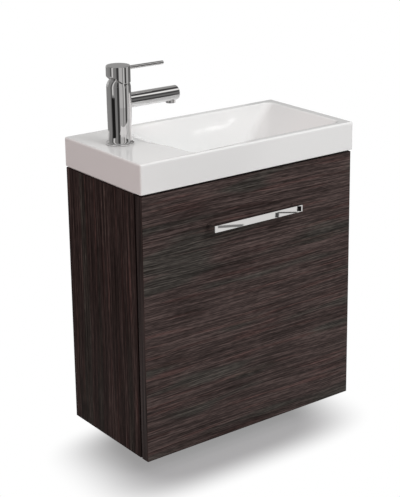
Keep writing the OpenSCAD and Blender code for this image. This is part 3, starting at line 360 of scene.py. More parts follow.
@dataclass(frozen=True)
class Laminate(Finish):
    """Dark wood laminate on chipboard with a plain edge band.

    Args:
        name: The material's name.
        grain: The way the grain runs.
        low: The board's lowest corner, in metres.
        high: The board's highest corner, in metres.
        dark: Colour of the darkest lines.
        mid: Colour of the ground.
        light: Colour of the light streaks.
        core: Colour of the chipboard.
        green: Tint of the faint green bands.
        red: Tint of the faint red streaks.
        zone: Length and width of the slow bands, in millimetres.
        bands: How far the slow bands stand out.
        weights: How far the streaks, the threads and the pores stand out.
        stretch: How much longer than usual the figure runs.
        sway: How far the grain sways over a long run, in metres.
        ripple: How far it ripples over a short run, in metres.
        band: Thickness of the edge band, in metres.
        skin: Thickness of the laminate, in metres.
        gloss: How much the surface reflects at a glance.
        shift: Offset that gives each board its own figure.
    """

    name: str
    grain: Grain
    low: Point
    high: Point
    dark: Colour = (0.0130, 0.0082, 0.0072)
    mid: Colour = (0.0515, 0.0367, 0.0341)
    light: Colour = (0.1380, 0.0990, 0.0900)
    core: Colour = (0.42, 0.31, 0.20)
    green: Colour = (0.80, 1.05, 1.00)
    red: Colour = (1.25, 0.96, 0.94)
    zone: tuple[float, float] = (190.0, 26.0)
    bands: float = 0.35
    weights: tuple[float, float, float] = (0.60, 1.05, 0.75)
    stretch: float = 1.5
    sway: float = 0.009
    ripple: float = 0.0016
    band: float = 0.0009
    skin: float = 0.0007
    gloss: float = 0.06
    shift: float = 0.0

    def inside(self, places: Mapping[str, Socket], axes: str, depth: float) -> Socket:
        """1 where a point lies deeper than a depth inside the board's faces.

        Args:
            places: The point's X, Y and Z.
            axes: The axes whose faces count.
            depth: The depth, in metres.

        Returns:
            The mask.
        """
        result: Socket | float = 1.0
        for axis in axes:
            i = "XYZ".index(axis)
            middle, half = (self.low[i] + self.high[i]) / 2, (self.high[i] - self.low[i]) / 2
            inner = abs(places[axis] - middle).over(half - depth * 0.6, half - depth)
            result = inner * result
        return result

    def lay(self, bench: Bench) -> Socket:
        """Lays the grain, the upright lines on the board's edges and the chipboard in its drilled holes.

        Args:
            bench: The material's bench.

        Returns:
            The shader.
        """
        places = dict(zip("XYZ", bench.where()))
        along, across, through = (places[a] for a in self.grain.value)
        along = along + self.shift
        long_run = bench.noise(bench.vector(along * 3.6, across * 7.0, through * 7.0), 1.0, 1.0)
        short_run = bench.noise(bench.vector(along * 15.0, across * 40.0, through * 20.0), 1.0, 1.0)
        level = across + (long_run - 0.5) * self.sway + (short_run - 0.5) * self.ripple

        def lines(figure: Figure) -> Socket:
            """The noise of one layer.

            Args:
                figure: The layer.

            Returns:
                The noise's factor.
            """
            run = along * (1000 / figure.length / self.stretch)
            spot = bench.vector(run, level * (1000 / figure.width), through * 60 + figure.seed)
            return bench.noise(spot, 1.0, figure.detail, 0.55)

        length, width = self.zone
        zones = lines(Figure(length, width, 3.1))
        streaks, threads, pores = lines(STREAKS), lines(THREADS), lines(PORES)
        tone = (zones - 0.5) * self.bands
        for layer, weight in zip((streaks, threads, pores), self.weights):
            tone = tone + (layer - 0.5) * weight
        wood = bench.ramp(tone + 0.5, [
            (0.06, self.dark), (0.30, dimmed(self.mid, 0.55)), (0.50, self.mid),
            (0.72, dimmed(self.mid, 1.75)), (0.96, self.light)])
        mossy = lines(Figure(length * 0.8, width * 1.2, 31.0)).over(0.52, 0.64)
        wood = bench.mix(mossy * 0.8, wood, self.green, "MULTIPLY")
        wood = bench.mix(lines(RED_STREAKS).over(0.54, 0.70) * 0.6, wood, self.red, "MULTIPLY")
        wood = bench.mix(lines(DARK_CUTS).over(0.655, 0.715) * 0.75, wood, self.dark)
        wood = bench.mix(lines(LIGHT_CUTS).over(0.67, 0.75) * 0.5, wood, self.light)
        rim_spot = bench.vector(places["X"] * 430, places["Y"] * 430, places["Z"] * 8 + self.shift)
        rims = bench.noise(rim_spot, 1.0, 2.0)
        edge = bench.ramp(rims, [(0.36, self.dark), (0.50, dimmed(self.mid, 0.60)), (0.64, self.mid)])
        faces = "".join(a for a in "XYZ" if a != self.thin())
        wood = bench.mix(1.0 - self.inside(places, faces, self.band), wood, edge)
        crumbs = bench.noise(bench.vector(*places.values()), 700.0, 3.0, 0.7)
        chip = bench.ramp(crumbs, [(0.32, dimmed(self.core, 0.45)), (0.62, self.core)])
        colour = bench.mix(self.inside(places, "XYZ", self.skin), wood, chip)
        rough = 0.48 + (threads - 0.5) * 0.2
        return bench.node("ShaderNodeBsdfPrincipled", None, {
            "Base Color": colour, "Roughness": rough, "Specular IOR Level": self.gloss,
            "Normal": bench.bump(threads * 0.6 + pores * 0.4, 0.00018, 0.5)})

    def thin(self) -> str:
        """The axis that the board is thinnest along."""
        sizes = [high - low for low, high in zip(self.low, self.high)]
        return "XYZ"[sizes.index(min(sizes))]


@dataclass(frozen=True)
class Glaze(Finish):
    """White gloss glaze over vitreous china, with the faint unevenness of a fired surface.

    Args:
        name: The material's name.
        colour: The glaze's colour.
        roughness: Its mean roughness.
    """

    name: str = "white_glaze"
    colour: Colour = (0.808, 0.808, 0.803)
    roughness: float = 0.075

    def lay(self, bench: Bench) -> Socket:
        """Lays a clear white body with slow waves in its gloss.

        Args:
            bench: The material's bench.

        Returns:
            The shader.
        """
        spot = bench.vector(*bench.where())
        slow = bench.noise(spot, 9.0, 2.0)
        fine = bench.noise(spot, 160.0, 2.0)
        colour = bench.ramp(slow, [(0.3, dimmed(self.colour, 0.985)), (0.7, self.colour)])
        return bench.node("ShaderNodeBsdfPrincipled", None, {
            "Base Color": colour, "Roughness": self.roughness + (fine - 0.5) * 0.03, "IOR": 1.52,
            "Coat Weight": 0.35, "Coat Roughness": 0.03,
            "Normal": bench.bump(slow * 0.8 + fine * 0.02, 0.0012, 0.25)})


@dataclass(frozen=True)
class Chrome(Finish):
    """Polished chrome plate with a trace of polishing haze.

    Args:
        name: The material's name.
        colour: The metal's colour.
        roughness: Its mean roughness.
    """

    name: str = "polished_chrome"
    colour: Colour = (0.88, 0.87, 0.87)
    roughness: float = 0.022

    def lay(self, bench: Bench) -> Socket:
        """Lays a bright metal whose roughness varies a little.

        Args:
            bench: The material's bench.

        Returns:
            The shader.
        """
        spot = bench.vector(*bench.where())
        haze = bench.noise(spot, 60.0, 3.0, 0.6)
        wipes = bench.noise(spot, 420.0, 2.0)
        tint = bench.ramp(haze, [(0.3, dimmed(self.colour, 0.96)), (0.7, self.colour)])
        return bench.node("ShaderNodeBsdfPrincipled", None, {
            "Base Color": tint, "Metallic": 1.0,
            "Roughness": self.roughness + (haze - 0.5) * 0.02 + (wipes - 0.5) * 0.006})


@dataclass(frozen=True)
class Plating(Finish):
    """Plated or drawn metal with fine tool marks.

    Args:
        name: The material's name.
        colour: The metal's colour.
        roughness: Its mean roughness.
        patches: Share of colour that slow patches take away.
        marks: Depth of the tool marks, in metres.
    """

    name: str
    colour: Colour
    roughness: float = 0.3
    patches: float = 0.12
    marks: float = 0.00003

    def lay(self, bench: Bench) -> Socket:
        """Lays drawn marks and slow patches.

        Args:
            bench: The material's bench.

        Returns:
            The shader.
        """
        x, y, z = bench.where()
        drawn = bench.noise(bench.vector(x * 260, y * 260, z * 2400), 1.0, 2.0)
        patch = bench.noise(bench.vector(x, y, z), 85.0, 3.0, 0.6)
        colour = bench.ramp(patch, [(0.3, dimmed(self.colour, 1 - self.patches)), (0.7, self.colour)])
        return bench.node("ShaderNodeBsdfPrincipled", None, {
            "Base Color": colour, "Metallic": 1.0,
            "Roughness": self.roughness + (drawn - 0.5) * 0.16 + (patch - 0.5) * 0.12,
            "Normal": bench.bump(drawn, self.marks, 0.4)})


@dataclass(frozen=True)
class Moulded(Finish):
    """Moulded rubber, silicone or plastic.

    Args:
        name: The material's name.
        colour: Its colour.
        roughness: Its mean roughness.
        texture: Depth of the moulding's texture, in metres.
        bloom: Share by which dust and bloom lighten it.
    """

    name: str
    colour: Colour
    roughness: float = 0.5
    texture: float = 0.00004
    bloom: float = 0.1

    def lay(self, bench: Bench) -> Socket:
        """Lays a fine grain and a light bloom.

        Args:
            bench: The material's bench.

        Returns:
            The shader.
        """
        spot = bench.vector(*bench.where())
        grain = bench.noise(spot, 1300.0, 2.0)
        cloud = bench.noise(spot, 70.0, 3.0, 0.6)
        pale = tuple(c + (0.6 - c) * self.bloom for c in self.colour)
        colour = bench.mix(cloud.over(0.35, 0.75), self.colour, pale)
        return bench.node("ShaderNodeBsdfPrincipled", None, {
            "Base Color": colour, "Roughness": self.roughness + (grain - 0.5) * 0.12,
            "Normal": bench.bump(grain, self.texture, 0.5)})


@dataclass(frozen=True)
class BareBeech(Finish):
    """Turned beech with its fine flecks, the grain along X.

    Args:
        name: The material's name.
        colour: The wood's colour.
    """

    name: str = "bare_beech"
    colour: Colour = (0.62, 0.42, 0.24)

    def lay(self, bench: Bench) -> Socket:
        """Lays flecks drawn out along the dowel.

        Args:
            bench: The material's bench.

        Returns:
            The shader.
        """
        x, y, z = bench.where()
        fleck = bench.noise(bench.vector(x * 260, y * 1500, z * 1500), 1.0, 2.0)
        colour = bench.ramp(fleck, [(0.3, dimmed(self.colour, 0.62)), (0.65, self.colour)])
        return bench.node("ShaderNodeBsdfPrincipled", None, {
            "Base Color": colour, "Roughness": 0.62 + (fleck - 0.5) * 0.2,
            "Normal": bench.bump(fleck, 0.00008, 0.5)})


CHROME = Chrome()
GLAZE = Glaze()
NICKEL = Plating("nickel_plate", (0.66, 0.64, 0.60), 0.26)
ZINC = Plating("bright_zinc", (0.60, 0.62, 0.66), 0.34, 0.2)
BRASS = Plating("plain_brass", (0.72, 0.53, 0.24), 0.3, 0.25)
RUBBER = Moulded("black_rubber", (0.022, 0.022, 0.023), 0.6)
SEALANT = Moulded("grey_white_sealant", (0.50, 0.50, 0.49), 0.38, 0.00002, 0.05)
PLASTIC = Moulded("white_plastic", (0.78, 0.78, 0.75), 0.38, 0.00002, 0.0)
BEECH = BareBeech()


class Form:
    """A mesh in the making, in millimetres in the part's frame."""

    def __init__(self) -> None:
        """Starts empty."""
        self.bm = bmesh.new()

    def lathe(self, outline: Sequence[Corner], at: Point, turn: Turn = Turn.UPRIGHT,
              steps: int = 96, closed: bool = False) -> "Form":
        """Turns an outline about an axis.

        Args:
            outline: Radius, height along the axis and rounding of each corner.
            at: A point on the axis, from which heights count.
            turn: The axis.
            steps: Faces round the form.
            closed: True where the outline is a closed loop off the axis.

        Returns:
            The form.
        """
        part = bmesh.new()
        verts = [part.verts.new((radius, 0.0, height)) for radius, height, _round in outline]
        for a, b in zip(verts, verts[1:]):
            part.edges.new((a, b))
        if closed:
            part.edges.new((verts[-1], verts[0]))
        for vert, (_radius, _height, rounding) in zip(verts, outline):
            if rounding > 0:
                bmesh.ops.bevel(part, geom=[vert], offset=rounding, offset_type="OFFSET", affect="VERTICES",
                                segments=6, profile=0.5, material=-1)
        bmesh.ops.spin(part, geom=part.verts[:] + part.edges[:], cent=(0, 0, 0), axis=(0, 0, 1),
                       angle=2 * math.pi, steps=steps, use_merge=True, use_duplicate=False)
        bmesh.ops.remove_doubles(part, verts=part.verts[:], dist=1e-4)
        bmesh.ops.recalc_face_normals(part, faces=part.faces[:])
        if turn is Turn.SIDEWAYS:
            quarter = Matrix.Rotation(math.pi / 2, 3, "Y")
            bmesh.ops.rotate(part, verts=part.verts[:], cent=(0, 0, 0), matrix=quarter)
        bmesh.ops.translate(part, verts=part.verts[:], vec=at)
        return self.take(part)

    def block(self, low: Point, high: Point) -> "Form":
        """Adds a rectangular block between two corners.

        Args:
            low: Its lowest corner.
            high: Its highest corner.

        Returns:
            The form.
        """
        part = bmesh.new()
        size = Vector(high) - Vector(low)
        middle = (Vector(high) + Vector(low)) / 2
        place = Matrix.Translation(middle) @ Matrix.Diagonal((*size, 1.0))
        bmesh.ops.create_cube(part, size=1.0, matrix=place)
        return self.take(part)

    def take(self, part: bmesh.types.BMesh) -> "Form":
        """Joins another mesh in and frees it.

        Args:
            part: The other mesh, in millimetres.

        Returns:
            The form.
        """
        carrier = bpy.data.meshes.new("carrier")
        part.to_mesh(carrier)
        part.free()
        self.bm.from_mesh(carrier)
        bpy.data.meshes.remove(carrier)
        return self

    def loft(self, rings: Sequence[Sequence[Vector]], closed: bool) -> "Form":
        """Extrudes a circle's edges through a row of rings.

        Args:
            rings: The rings, each with the same number of points in the same order.
            closed: True where the last ring joins the first.

        Returns:
            The form.
        """
        verts = bmesh.ops.create_circle(self.bm, segments=len(rings[0]), radius=1.0)["verts"]
        for vert, spot in zip(verts, rings[0]):
            vert.co = spot
        first = verts
        for ring in list(rings[1:]) + ([rings[0]] if closed else []):
            edges = [self.bm.edges.get(pair) for pair in zip(verts, verts[1:] + verts[:1])]
            grown = bmesh.ops.extrude_edge_only(self.bm, edges=edges)["geom"]
            fresh = {v for v in grown if isinstance(v, bmesh.types.BMVert)}
            verts = [next(e.other_vert(v) for e in v.link_edges if e.other_vert(v) in fresh) for v in verts]
            for vert, spot in zip(verts, ring):
                vert.co = spot
        if closed:
            bmesh.ops.weld_verts(self.bm, targetmap=dict(zip(verts, first)))
        bmesh.ops.recalc_face_normals(self.bm, faces=self.bm.faces[:])
        return self

    def bevel(self, edges: Sequence[bmesh.types.BMEdge], radius: float, segments: int) -> "Form":
        """Rounds edges.

        Args:
            edges: The edges.
            radius: The rounding's radius.
            segments: Its faces.

        Returns:
            The form.
        """
        bmesh.ops.bevel(self.bm, geom=list(edges), offset=radius, offset_type="OFFSET", affect="EDGES",
                        segments=segments, profile=0.5, material=-1, clamp_overlap=True)
        return self

    def edges_where(self, test: Callable[[Vector, Vector], bool]) -> list[bmesh.types.BMEdge]:
        """The edges whose two ends pass a test."""
        return [e for e in self.bm.edges if test(e.verts[0].co, e.verts[1].co)]

    def cut_below(self, at: Point, normal: Point) -> "Form":
        """Cuts away what lies on a plane's far side and closes the face.

        Args:
            at: A point on the plane.
            normal: The direction of the side that goes.

        Returns:
            The form.
        """
        geometry = self.bm.verts[:] + self.bm.edges[:] + self.bm.faces[:]
        bmesh.ops.bisect_plane(self.bm, geom=geometry, dist=1e-5, plane_co=at, plane_no=normal,
                               clear_outer=True)
        bmesh.ops.remove_doubles(self.bm, verts=self.bm.verts[:], dist=1e-4)
        bmesh.ops.holes_fill(self.bm, edges=[e for e in self.bm.edges if e.is_boundary], sides=0)
        bmesh.ops.recalc_face_normals(self.bm, faces=self.bm.faces[:])
        return self

    def piece(self, name: str, smooth_below: float = 34.0) -> bpy.types.Object:
        """Finishes the mesh as an object at the origin, in metres.

        Args:
            name: The object's name.
            smooth_below: Edges flatter than this angle are shaded smooth, in degrees.

        Returns:
            The object.
        """
        bmesh.ops.scale(self.bm, vec=(MM, MM, MM), verts=self.bm.verts[:])
        mesh = bpy.data.meshes.new(name)
        self.bm.to_mesh(mesh)
        self.bm.free()
        made = bpy.data.objects.new(name, mesh)
        bpy.context.scene.collection.objects.link(made)
        shade(made, smooth_below)
        return made


def bake(piece: bpy.types.Object) -> None:
    """Turns a piece's modifiers into its mesh.

    Args:
        piece: The piece.
    """
    bpy.context.view_layer.update()
    graph = bpy.context.evaluated_depsgraph_get()
    mesh = bpy.data.meshes.new_from_object(piece.evaluated_get(graph))
    piece.modifiers.clear()
    old = piece.data
    piece.data = mesh
    mesh.name = piece.name
    bpy.data.meshes.remove(old)


def shade(piece: bpy.types.Object, smooth_below: float = 34.0) -> None:
    """Shades a piece smooth, with sharp edges above an angle and flat faces that stay flat.

    Args:
        piece: The piece.
        smooth_below: Largest angle of a smooth edge, in degrees.
    """
    piece.data.shade_smooth()
    piece.data.set_sharp_from_angle(angle=math.radians(smooth_below))
    flatten = piece.modifiers.new("flatten", "WEIGHTED_NORMAL")
    flatten.keep_sharp = True
    flatten.weight = 100
    bake(piece)


def carve(piece: bpy.types.Object, *cutters: bpy.types.Object) -> bpy.types.Object:
    """Cuts solids out of a piece and removes them.

    Args:
        piece: The piece.
        *cutters: Closed meshes.

    Returns:
        The piece.
    """
    for cutter in cutters:
        step = piece.modifiers.new("cut", "BOOLEAN")
        step.operation = "DIFFERENCE"
        step.solver = "EXACT"
        step.object = cutter
    bake(piece)
    for cutter in cutters:
        bpy.data.objects.remove(cutter)
    shade(piece)
    return piece


def corners(node: str) -> tuple[Vector, Vector]:
    """A CAD node's lowest and highest corner, in millimetres."""
    low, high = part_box(node)
    return low / MM, high / MM


def fit(piece: bpy.types.Object, body: Body, finish: Finish, slot: str, *nodes: str) -> bpy.types.Object:
    """Gives a piece its finish, its body and the nodes that it stands for.

    Args:
        piece: The piece.
        body: The body it rides on.
        finish: Its finish.
        slot: The record's material slot; it is not used.
        *nodes: The CAD nodes that it replaces.

    Returns:
        The piece.
    """
    piece.data.materials.clear()
    piece.data.materials.append(finish.material())
    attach(piece, body.value)
    if nodes:
        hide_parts(*nodes)
    faces = len(piece.data.polygons)
    log.info("piece %s: %d faces, on %s, for %s", piece.name, faces, body.value, ", ".join(nodes))
    return piece


@dataclass
class Basin:
    """The slim ceramic basin: a rectangular skirt, a flat tap deck and a bowl that ramps down from the left.

    Args:
        deck_w: Deck left of the bowl.
        rims: Rims at the right, back and front of the bowl.
        depth: Depth of the bowl.
        floor: Lowest and highest X and Y of the floor's corner lines.
        rim_corner: Radius of the bowl's corners at the rim.
        floor_corner: Radius of the floor's corners.
        crisp: Length of the rounding at the crisp rims.
        soft: Length of the rounding where the deck runs into the ramp, on the deck and down the ramp.
        sweep: Length of the rounding between walls and floor.
        edge: Radius of the skirt's edges.
        foot_edge: Radius of the skirt's lower edge.
        deck_t: Thickness of the deck.
        walls: Thickness of the skirt at left, right, front and back.
        shell: Thickness of the bowl.
        hole: Radius of the waste hole.
        tap_hole: Radius of the tap hole.
        soft_run: Distance from the bowl's left edge at which its soft rounding has turned crisp.
        wall_gap: Gap kept between the bowl's shell and the skirt's walls.
        ledge_drop: Greatest depth at which the shell may still meet the skirt's walls.
        round_steps: Straight pieces in each round corner.
        side_steps: Straight pieces in each side.
        bend_steps: Straight pieces in each rounding of the bowl.
        wall_steps: Straight pieces down the bowl's walls.
        edge_steps: Straight pieces over the skirt's upper edge.
        foot_steps: Straight pieces over the skirt's lower edge.
    """

    deck_w: float = 103.0
    rims: tuple[float, float, float] = (15.0, 15.0, 12.0)
    depth: float = 72.0
    floor: tuple[float, float, float, float] = (-16.0, 110.0, -132.5, -37.5)
    rim_corner: float = 13.0
    floor_corner: float = 12.0
    crisp: float = 2.6
    soft: tuple[float, float] = (30.0, 62.0)
    sweep: float = 15.0
    edge: float = 3.0
    foot_edge: float = 1.2
    deck_t: float = 14.0
    walls: tuple[float, float, float, float] = (10.0, 10.0, 28.0, 10.0)
    shell: float = 8.0
    hole: float = 23.0
    tap_hole: float = 17.5
    soft_run: float = 95.0
    wall_gap: float = 0.8
    ledge_drop: float = 40.0
    round_steps: int = 10
    side_steps: int = 18
    bend_steps: int = 8
    wall_steps: int = 7
    edge_steps: int = 6
    foot_steps: int = 3

    def ring(self, x0: float, x1: float, y0: float, y1: float, r: float, z: float) -> list[Vector]:
        """A level ring in the form of a rectangle with round corners.

        Args:
            x0: Left side.
            x1: Right side.
            y0: Front side.
            y1: Back side.
            r: Radius of the corners.
            z: Height.

        Returns:
            Its points, anticlockwise from the front right corner.
        """
        spots = []
        centres = ((x1 - r, y0 + r, -90), (x1 - r, y1 - r, 0), (x0 + r, y1 - r, 90), (x0 + r, y0 + r, 180))
        for i, (cx, cy, start) in enumerate(centres):
            for k in range(self.round_steps + 1):
                a = math.radians(start + 90 * k / self.round_steps)
                spots.append(Vector((cx + r * math.cos(a), cy + r * math.sin(a), z)))
            nx, ny, turn = centres[(i + 1) % 4]
            a = math.radians(turn)
            ahead = Vector((nx + r * math.cos(a), ny + r * math.sin(a), z))
            last = spots[-1]
            spots += [last.lerp(ahead, k / self.side_steps) for k in range(1, self.side_steps)]
        return spots

    def bowl_rings(self, rim: list[Vector], foot: list[Vector]) -> list[list[Vector]]:
        """The rings from the deck over the rim and down to the floor.

        Args:
            rim: Where each wall's line meets the deck.
            foot: Where each wall's line meets the floor.

        Returns:
            The rings, from the deck inwards.
        """
        left = min(v.x for v in rim)
        columns = []
        for a, b in zip(rim, foot):
            # The share is 1 at the bowl's left edge and falls smoothly to 0 where the rounding is crisp.
            share = min(max((a.x - left) / self.soft_run, 0.0), 1.0)
            share = 1 - share * share * (3 - 2 * share)
            lead, run = (self.crisp + (length - self.crisp) * share for length in self.soft)
            out = self.outwards(a, b)
            room = (self.rims[2] if out.y < 0 else self.rims[1]) - self.edge - 2.0
            lead = min(lead, room / max(abs(out.y), 0.01))
            down = (b - a).normalized()
            top, low = a + down * run, b - down * self.sweep
            bends = [k / self.bend_steps for k in range(self.bend_steps + 1)]
            column = [self.bend(a + out * lead, a, top, t) for t in bends]
            column += [top.lerp(low, k / self.wall_steps) for k in range(1, self.wall_steps)]
            column += [self.bend(low, b, b - out * self.sweep, t) for t in bends]
            columns.append(column)
        return [list(ring) for ring in zip(*columns)]

    @staticmethod
    def outwards(a: Vector, b: Vector) -> Vector:
        """The level direction from b to a."""
        return Vector((a.x - b.x, a.y - b.y, 0.0)).normalized()

    @staticmethod
    def bend(a: Vector, b: Vector, c: Vector, t: float) -> Vector:
        """A point on the smooth bend from a to c round b."""
        return a.lerp(b, t).lerp(b.lerp(c, t), t)

    def skirt_rings(self, low: Vector, high: Vector, foot_z: float) -> list[list[Vector]]:
        """The rings from the deck's edge down the outside of the skirt.

        Args:
            low: The basin's lowest corner.
            high: Its highest corner.
            foot_z: Height of the skirt's lower edge.

        Returns:
            The rings, from the deck down.
        """
        deck = high.z
        levels = [(self.edge + 1.0, deck)]
        for k in range(self.edge_steps + 1):
            a = math.radians(90 * k / self.edge_steps)
            levels.append((self.edge * (1 - math.sin(a)), deck - self.edge * (1 - math.cos(a))))
        levels += [(0.0, deck - self.edge - 1.0), (0.0, foot_z + self.foot_edge + 1.0)]
        for k in range(self.foot_steps + 1):
            a = math.radians(90 * k / self.foot_steps)
            levels.append((self.foot_edge * (1 - math.cos(a)), foot_z + self.foot_edge * (1 - math.sin(a))))
        return [self.ring(low.x + inset, high.x - inset, low.y + inset, high.y - inset,
                          max(self.edge - inset, 0.4), z) for inset, z in levels]

    def under_rings(self, inner: list[Vector], rim: list[Vector], foot: list[Vector]) -> list[list[Vector]]:
        """The rings up the inside of the skirt and down the bowl's underside.

        Args:
            inner: The skirt's inner edge at its foot.
            rim: Where each wall's line meets the deck.
            foot: Where each wall's line meets the floor.

        Returns:
            The rings: the inner edge, the ledge under the deck, and both ends of the bowl's shell.
        """
        gap = self.wall_gap
        x0, x1 = min(v.x for v in inner) + gap, max(v.x for v in inner) - gap
        y0, y1 = min(v.y for v in inner) + gap, max(v.y for v in inner) - gap
        ledge, shell, outer = [], [], []
        for v, a, b in zip(inner, rim, foot):
            # The shell starts under the deck and goes down its wall until it lies inside the skirt.
            out = self.outwards(a, b)
            deep = self.deck_t
            spot = a
            while deep < self.ledge_drop:
                spot = a.lerp(b, deep / self.depth) + out * (self.shell * 1.25)
                if x0 < spot.x < x1 and y0 < spot.y < y1:
                    break
                deep += 1.0
            spot.x = min(max(spot.x, x0), x1)
            spot.y = min(max(spot.y, y0), y1)
            ledge.append(Vector((v.x, v.y, a.z - deep)))
            shell.append(spot)
            outer.append(spot.lerp(b + out * 6.0, 0.85))
        return [inner, ledge, shell, outer]

    def build(self, waste: Vector, tap: Vector) -> bpy.types.Object:
        """Builds and dresses the basin.

        Args:
            waste: Centre of the waste hole.
            tap: The tap's axis.

        Returns:
            The piece.
        """
        low, high = corners("basin")
        foot_z, deck = corners("sealant_bead")[1].z, high.z
        floor_z = deck - self.depth
        left, right, front, back = self.walls
        right_rim, back_rim, front_rim = self.rims
        rim = self.ring(low.x + self.deck_w, high.x - right_rim, low.y + front_rim, high.y - back_rim,
                        self.rim_corner, deck)
        foot = self.ring(*self.floor, self.floor_corner, floor_z)
        inner = self.ring(low.x + left, high.x - right, low.y + front, high.y - back, 2.0, foot_z)
        hole = [waste.xy.to_3d() + (v.xy - waste.xy).normalized().to_3d() * self.hole for v in foot]
        bowl = self.bowl_rings(rim, foot)[::-1]
        drain = [v + Vector((0, 0, floor_z)) for v in hole]
        rings = [drain, [h.lerp(f, 0.5) for h, f in zip(drain, bowl[0])], *bowl]
        rings += self.skirt_rings(low, high, foot_z) + self.under_rings(inner, rim, foot)
        centre, down = Vector((waste.x, waste.y, floor_z)), Vector((0, 0, self.shell))
        rings.append([f.lerp(centre, 0.12) - down for f in foot])
        rings.append([v - down for v in drain])
        basin = Form().loft(rings, True).piece("basin_shell", 38.0)
        start, end = -20.0, 5.0
        cutter = Form().lathe([
            (0, start, 0), (self.tap_hole, start, 0), (self.tap_hole, end, 0), (0, end, 0)],
            (tap.x, tap.y, deck), steps=64).piece("tap_hole_cutter")
        carve(basin, cutter)
        shade(basin, 38.0)
        return fit(basin, Body.CABINET, GLAZE, "glazed_ceramic", "basin")


@dataclass
class Waste:
    """The push waste: a rounded flange on a threaded tail, and a domed plug.

    Args:
        flange_r: Radius of the flange.
        flange_t: Thickness of the flange.
        bore_r: Radius of the bore.
        tail_r: Radius over the tail's thread.
        thread_d: Depth of the thread.
        pitch: Pitch of the thread.
        neck_r: Radius of the neck above the thread.
        guide_r: Outer radius of the plug's guide.
        guide_bore: Inner radius of the guide.
        guide_drop: Depth of the guide below the flange's top.
        guide_h: Height of the guide.
        arm_w: Width of the guide's arms.
        plug_r: Radius of the plug.
        plug_rise: Height of its dome.
        plug_t: Thickness of the plug with its dome.
        stem_r: Radius of the plug's stem.
    """

    flange_r: float = 30.0
    flange_t: float = 2.5
    bore_r: float = 17.95
    tail_r: float = 20.95
    thread_d: float = 0.75
    pitch: float = 2.3
    neck_r: float = 20.35
    guide_r: float = 6.5
    guide_bore: float = 4.05
    guide_drop: float = 14.0
    guide_h: float = 16.0
    arm_w: float = 3.0
    plug_r: float = 20.0
    plug_rise: float = 3.4
    plug_t: float = 5.0
    stem_r: float = 4.0

    def axis(self) -> Vector:
        """The waste's axis at the flange's top."""
        low, high = corners("waste_body")
        return Vector(((low.x + high.x) / 2, (low.y + high.y) / 2, high.z))

    def build(self) -> None:
        """Builds and dresses the body and the plug."""
        top = self.axis()
        low, _high = corners("waste_body")
        nut_low = corners("waste_back_nut")[0].z
        end, relief = low.z - top.z, nut_low - 0.5 - top.z
        under, outer, root = -self.flange_t, self.flange_r, self.tail_r - self.thread_d
        thread: list[Corner] = []
        z = end + 1.0
        while z < relief - self.pitch + 0.1:
            thread += [(root, z, 0), (self.tail_r, z + self.thread_d, 0),
                       (self.tail_r, z + self.thread_d + 0.3, 0), (root, z + 2 * self.thread_d + 0.3, 0)]
            z += self.pitch
        form = Form().lathe([
            (self.bore_r, end, 0.4), (root, end, 0.3), *thread, (root, relief, 0),
            (self.neck_r, relief, 0), (self.neck_r, under, 0), (outer, under, 0.3), (outer, -0.9, 0.5),
            (outer - 3.0, 0.0, 1.2), (self.bore_r + 4.0, 0.0, 1.0), (self.bore_r, -2.6, 1.0)],
            tuple(top), closed=True)
        guide = -self.guide_drop - self.guide_h
        form.lathe([(self.guide_bore, guide, 0.3), (self.guide_r, guide, 0.5),
                    (self.guide_r, guide + self.guide_h, 0.5), (self.guide_bore, guide + self.guide_h, 0.3)],
                   tuple(top), closed=True, steps=48)
        start, stop = self.guide_r - 0.6, self.bore_r + 1.2
        for turn in (0, 120, 240):
            arm = bmesh.new()
            place = (Matrix.Rotation(math.radians(turn), 4, "Z")
                     @ Matrix.Translation(((start + stop) / 2, 0, guide + self.guide_h / 4))
                     @ Matrix.Diagonal((stop - start, self.arm_w, self.guide_h / 2, 1.0)))
            bmesh.ops.create_cube(arm, size=1.0, matrix=place)
            bmesh.ops.bevel(arm, geom=arm.edges[:], offset=0.4, affect="EDGES", segments=2, profile=0.5,
                            material=-1)
            bmesh.ops.translate(arm, verts=arm.verts[:], vec=top)
            form.take(arm)
        fit(form.piece("waste_flange_and_tail"), Body.CABINET, CHROME, "chrome", "waste_body")
        self.plug()

    def plug(self) -> None:
        """Builds and dresses the plug."""
        low, high = corners("waste_plug")
        at = ((low.x + high.x) / 2, (low.y + high.y) / 2, low.z)
        tall, rise = high.z - low.z, self.plug_rise
        cap, rim = tall - self.plug_t, tall - rise
        sphere = (self.plug_r ** 2 + rise ** 2) / (2 * rise)
        dome = [(self.plug_r * s, tall - sphere + math.sqrt(sphere ** 2 - (self.plug_r * s) ** 2), 0.0)
                for s in (0.94, 0.85, 0.72, 0.58, 0.42, 0.28, 0.14, 0.0)]
        form = Form().lathe([
            (0, 0, 0), (self.stem_r + 1.5, 0, 0.4), (self.stem_r + 1.5, 2.0, 0.3), (self.stem_r, 2.0, 0),
            (self.stem_r, cap, 0), (self.plug_r, cap, 0.5), (self.plug_r, rim, 0.5), *dome], at)
        fit(form.piece("push_plug"), Body.PLUG, CHROME, "chrome", "waste_plug")


def arc(radius: float, centre: float, start: float, end: float, steps: int) -> list[Corner]:
    """Corners of a lathed outline along a circle whose centre lies on the axis.

    Args:
        radius: The circle's radius.
        centre: Height of its centre.
        start: Angle above the horizon at which it starts, in degrees.
        end: Angle at which it ends.
        steps: Straight pieces.

    Returns:
        Radius, height and no rounding for each corner.
    """
    angles = (math.radians(start + (end - start) * k / steps) for k in range(steps + 1))
    return [(radius * math.cos(a), centre + radius * math.sin(a), 0.0) for a in angles]


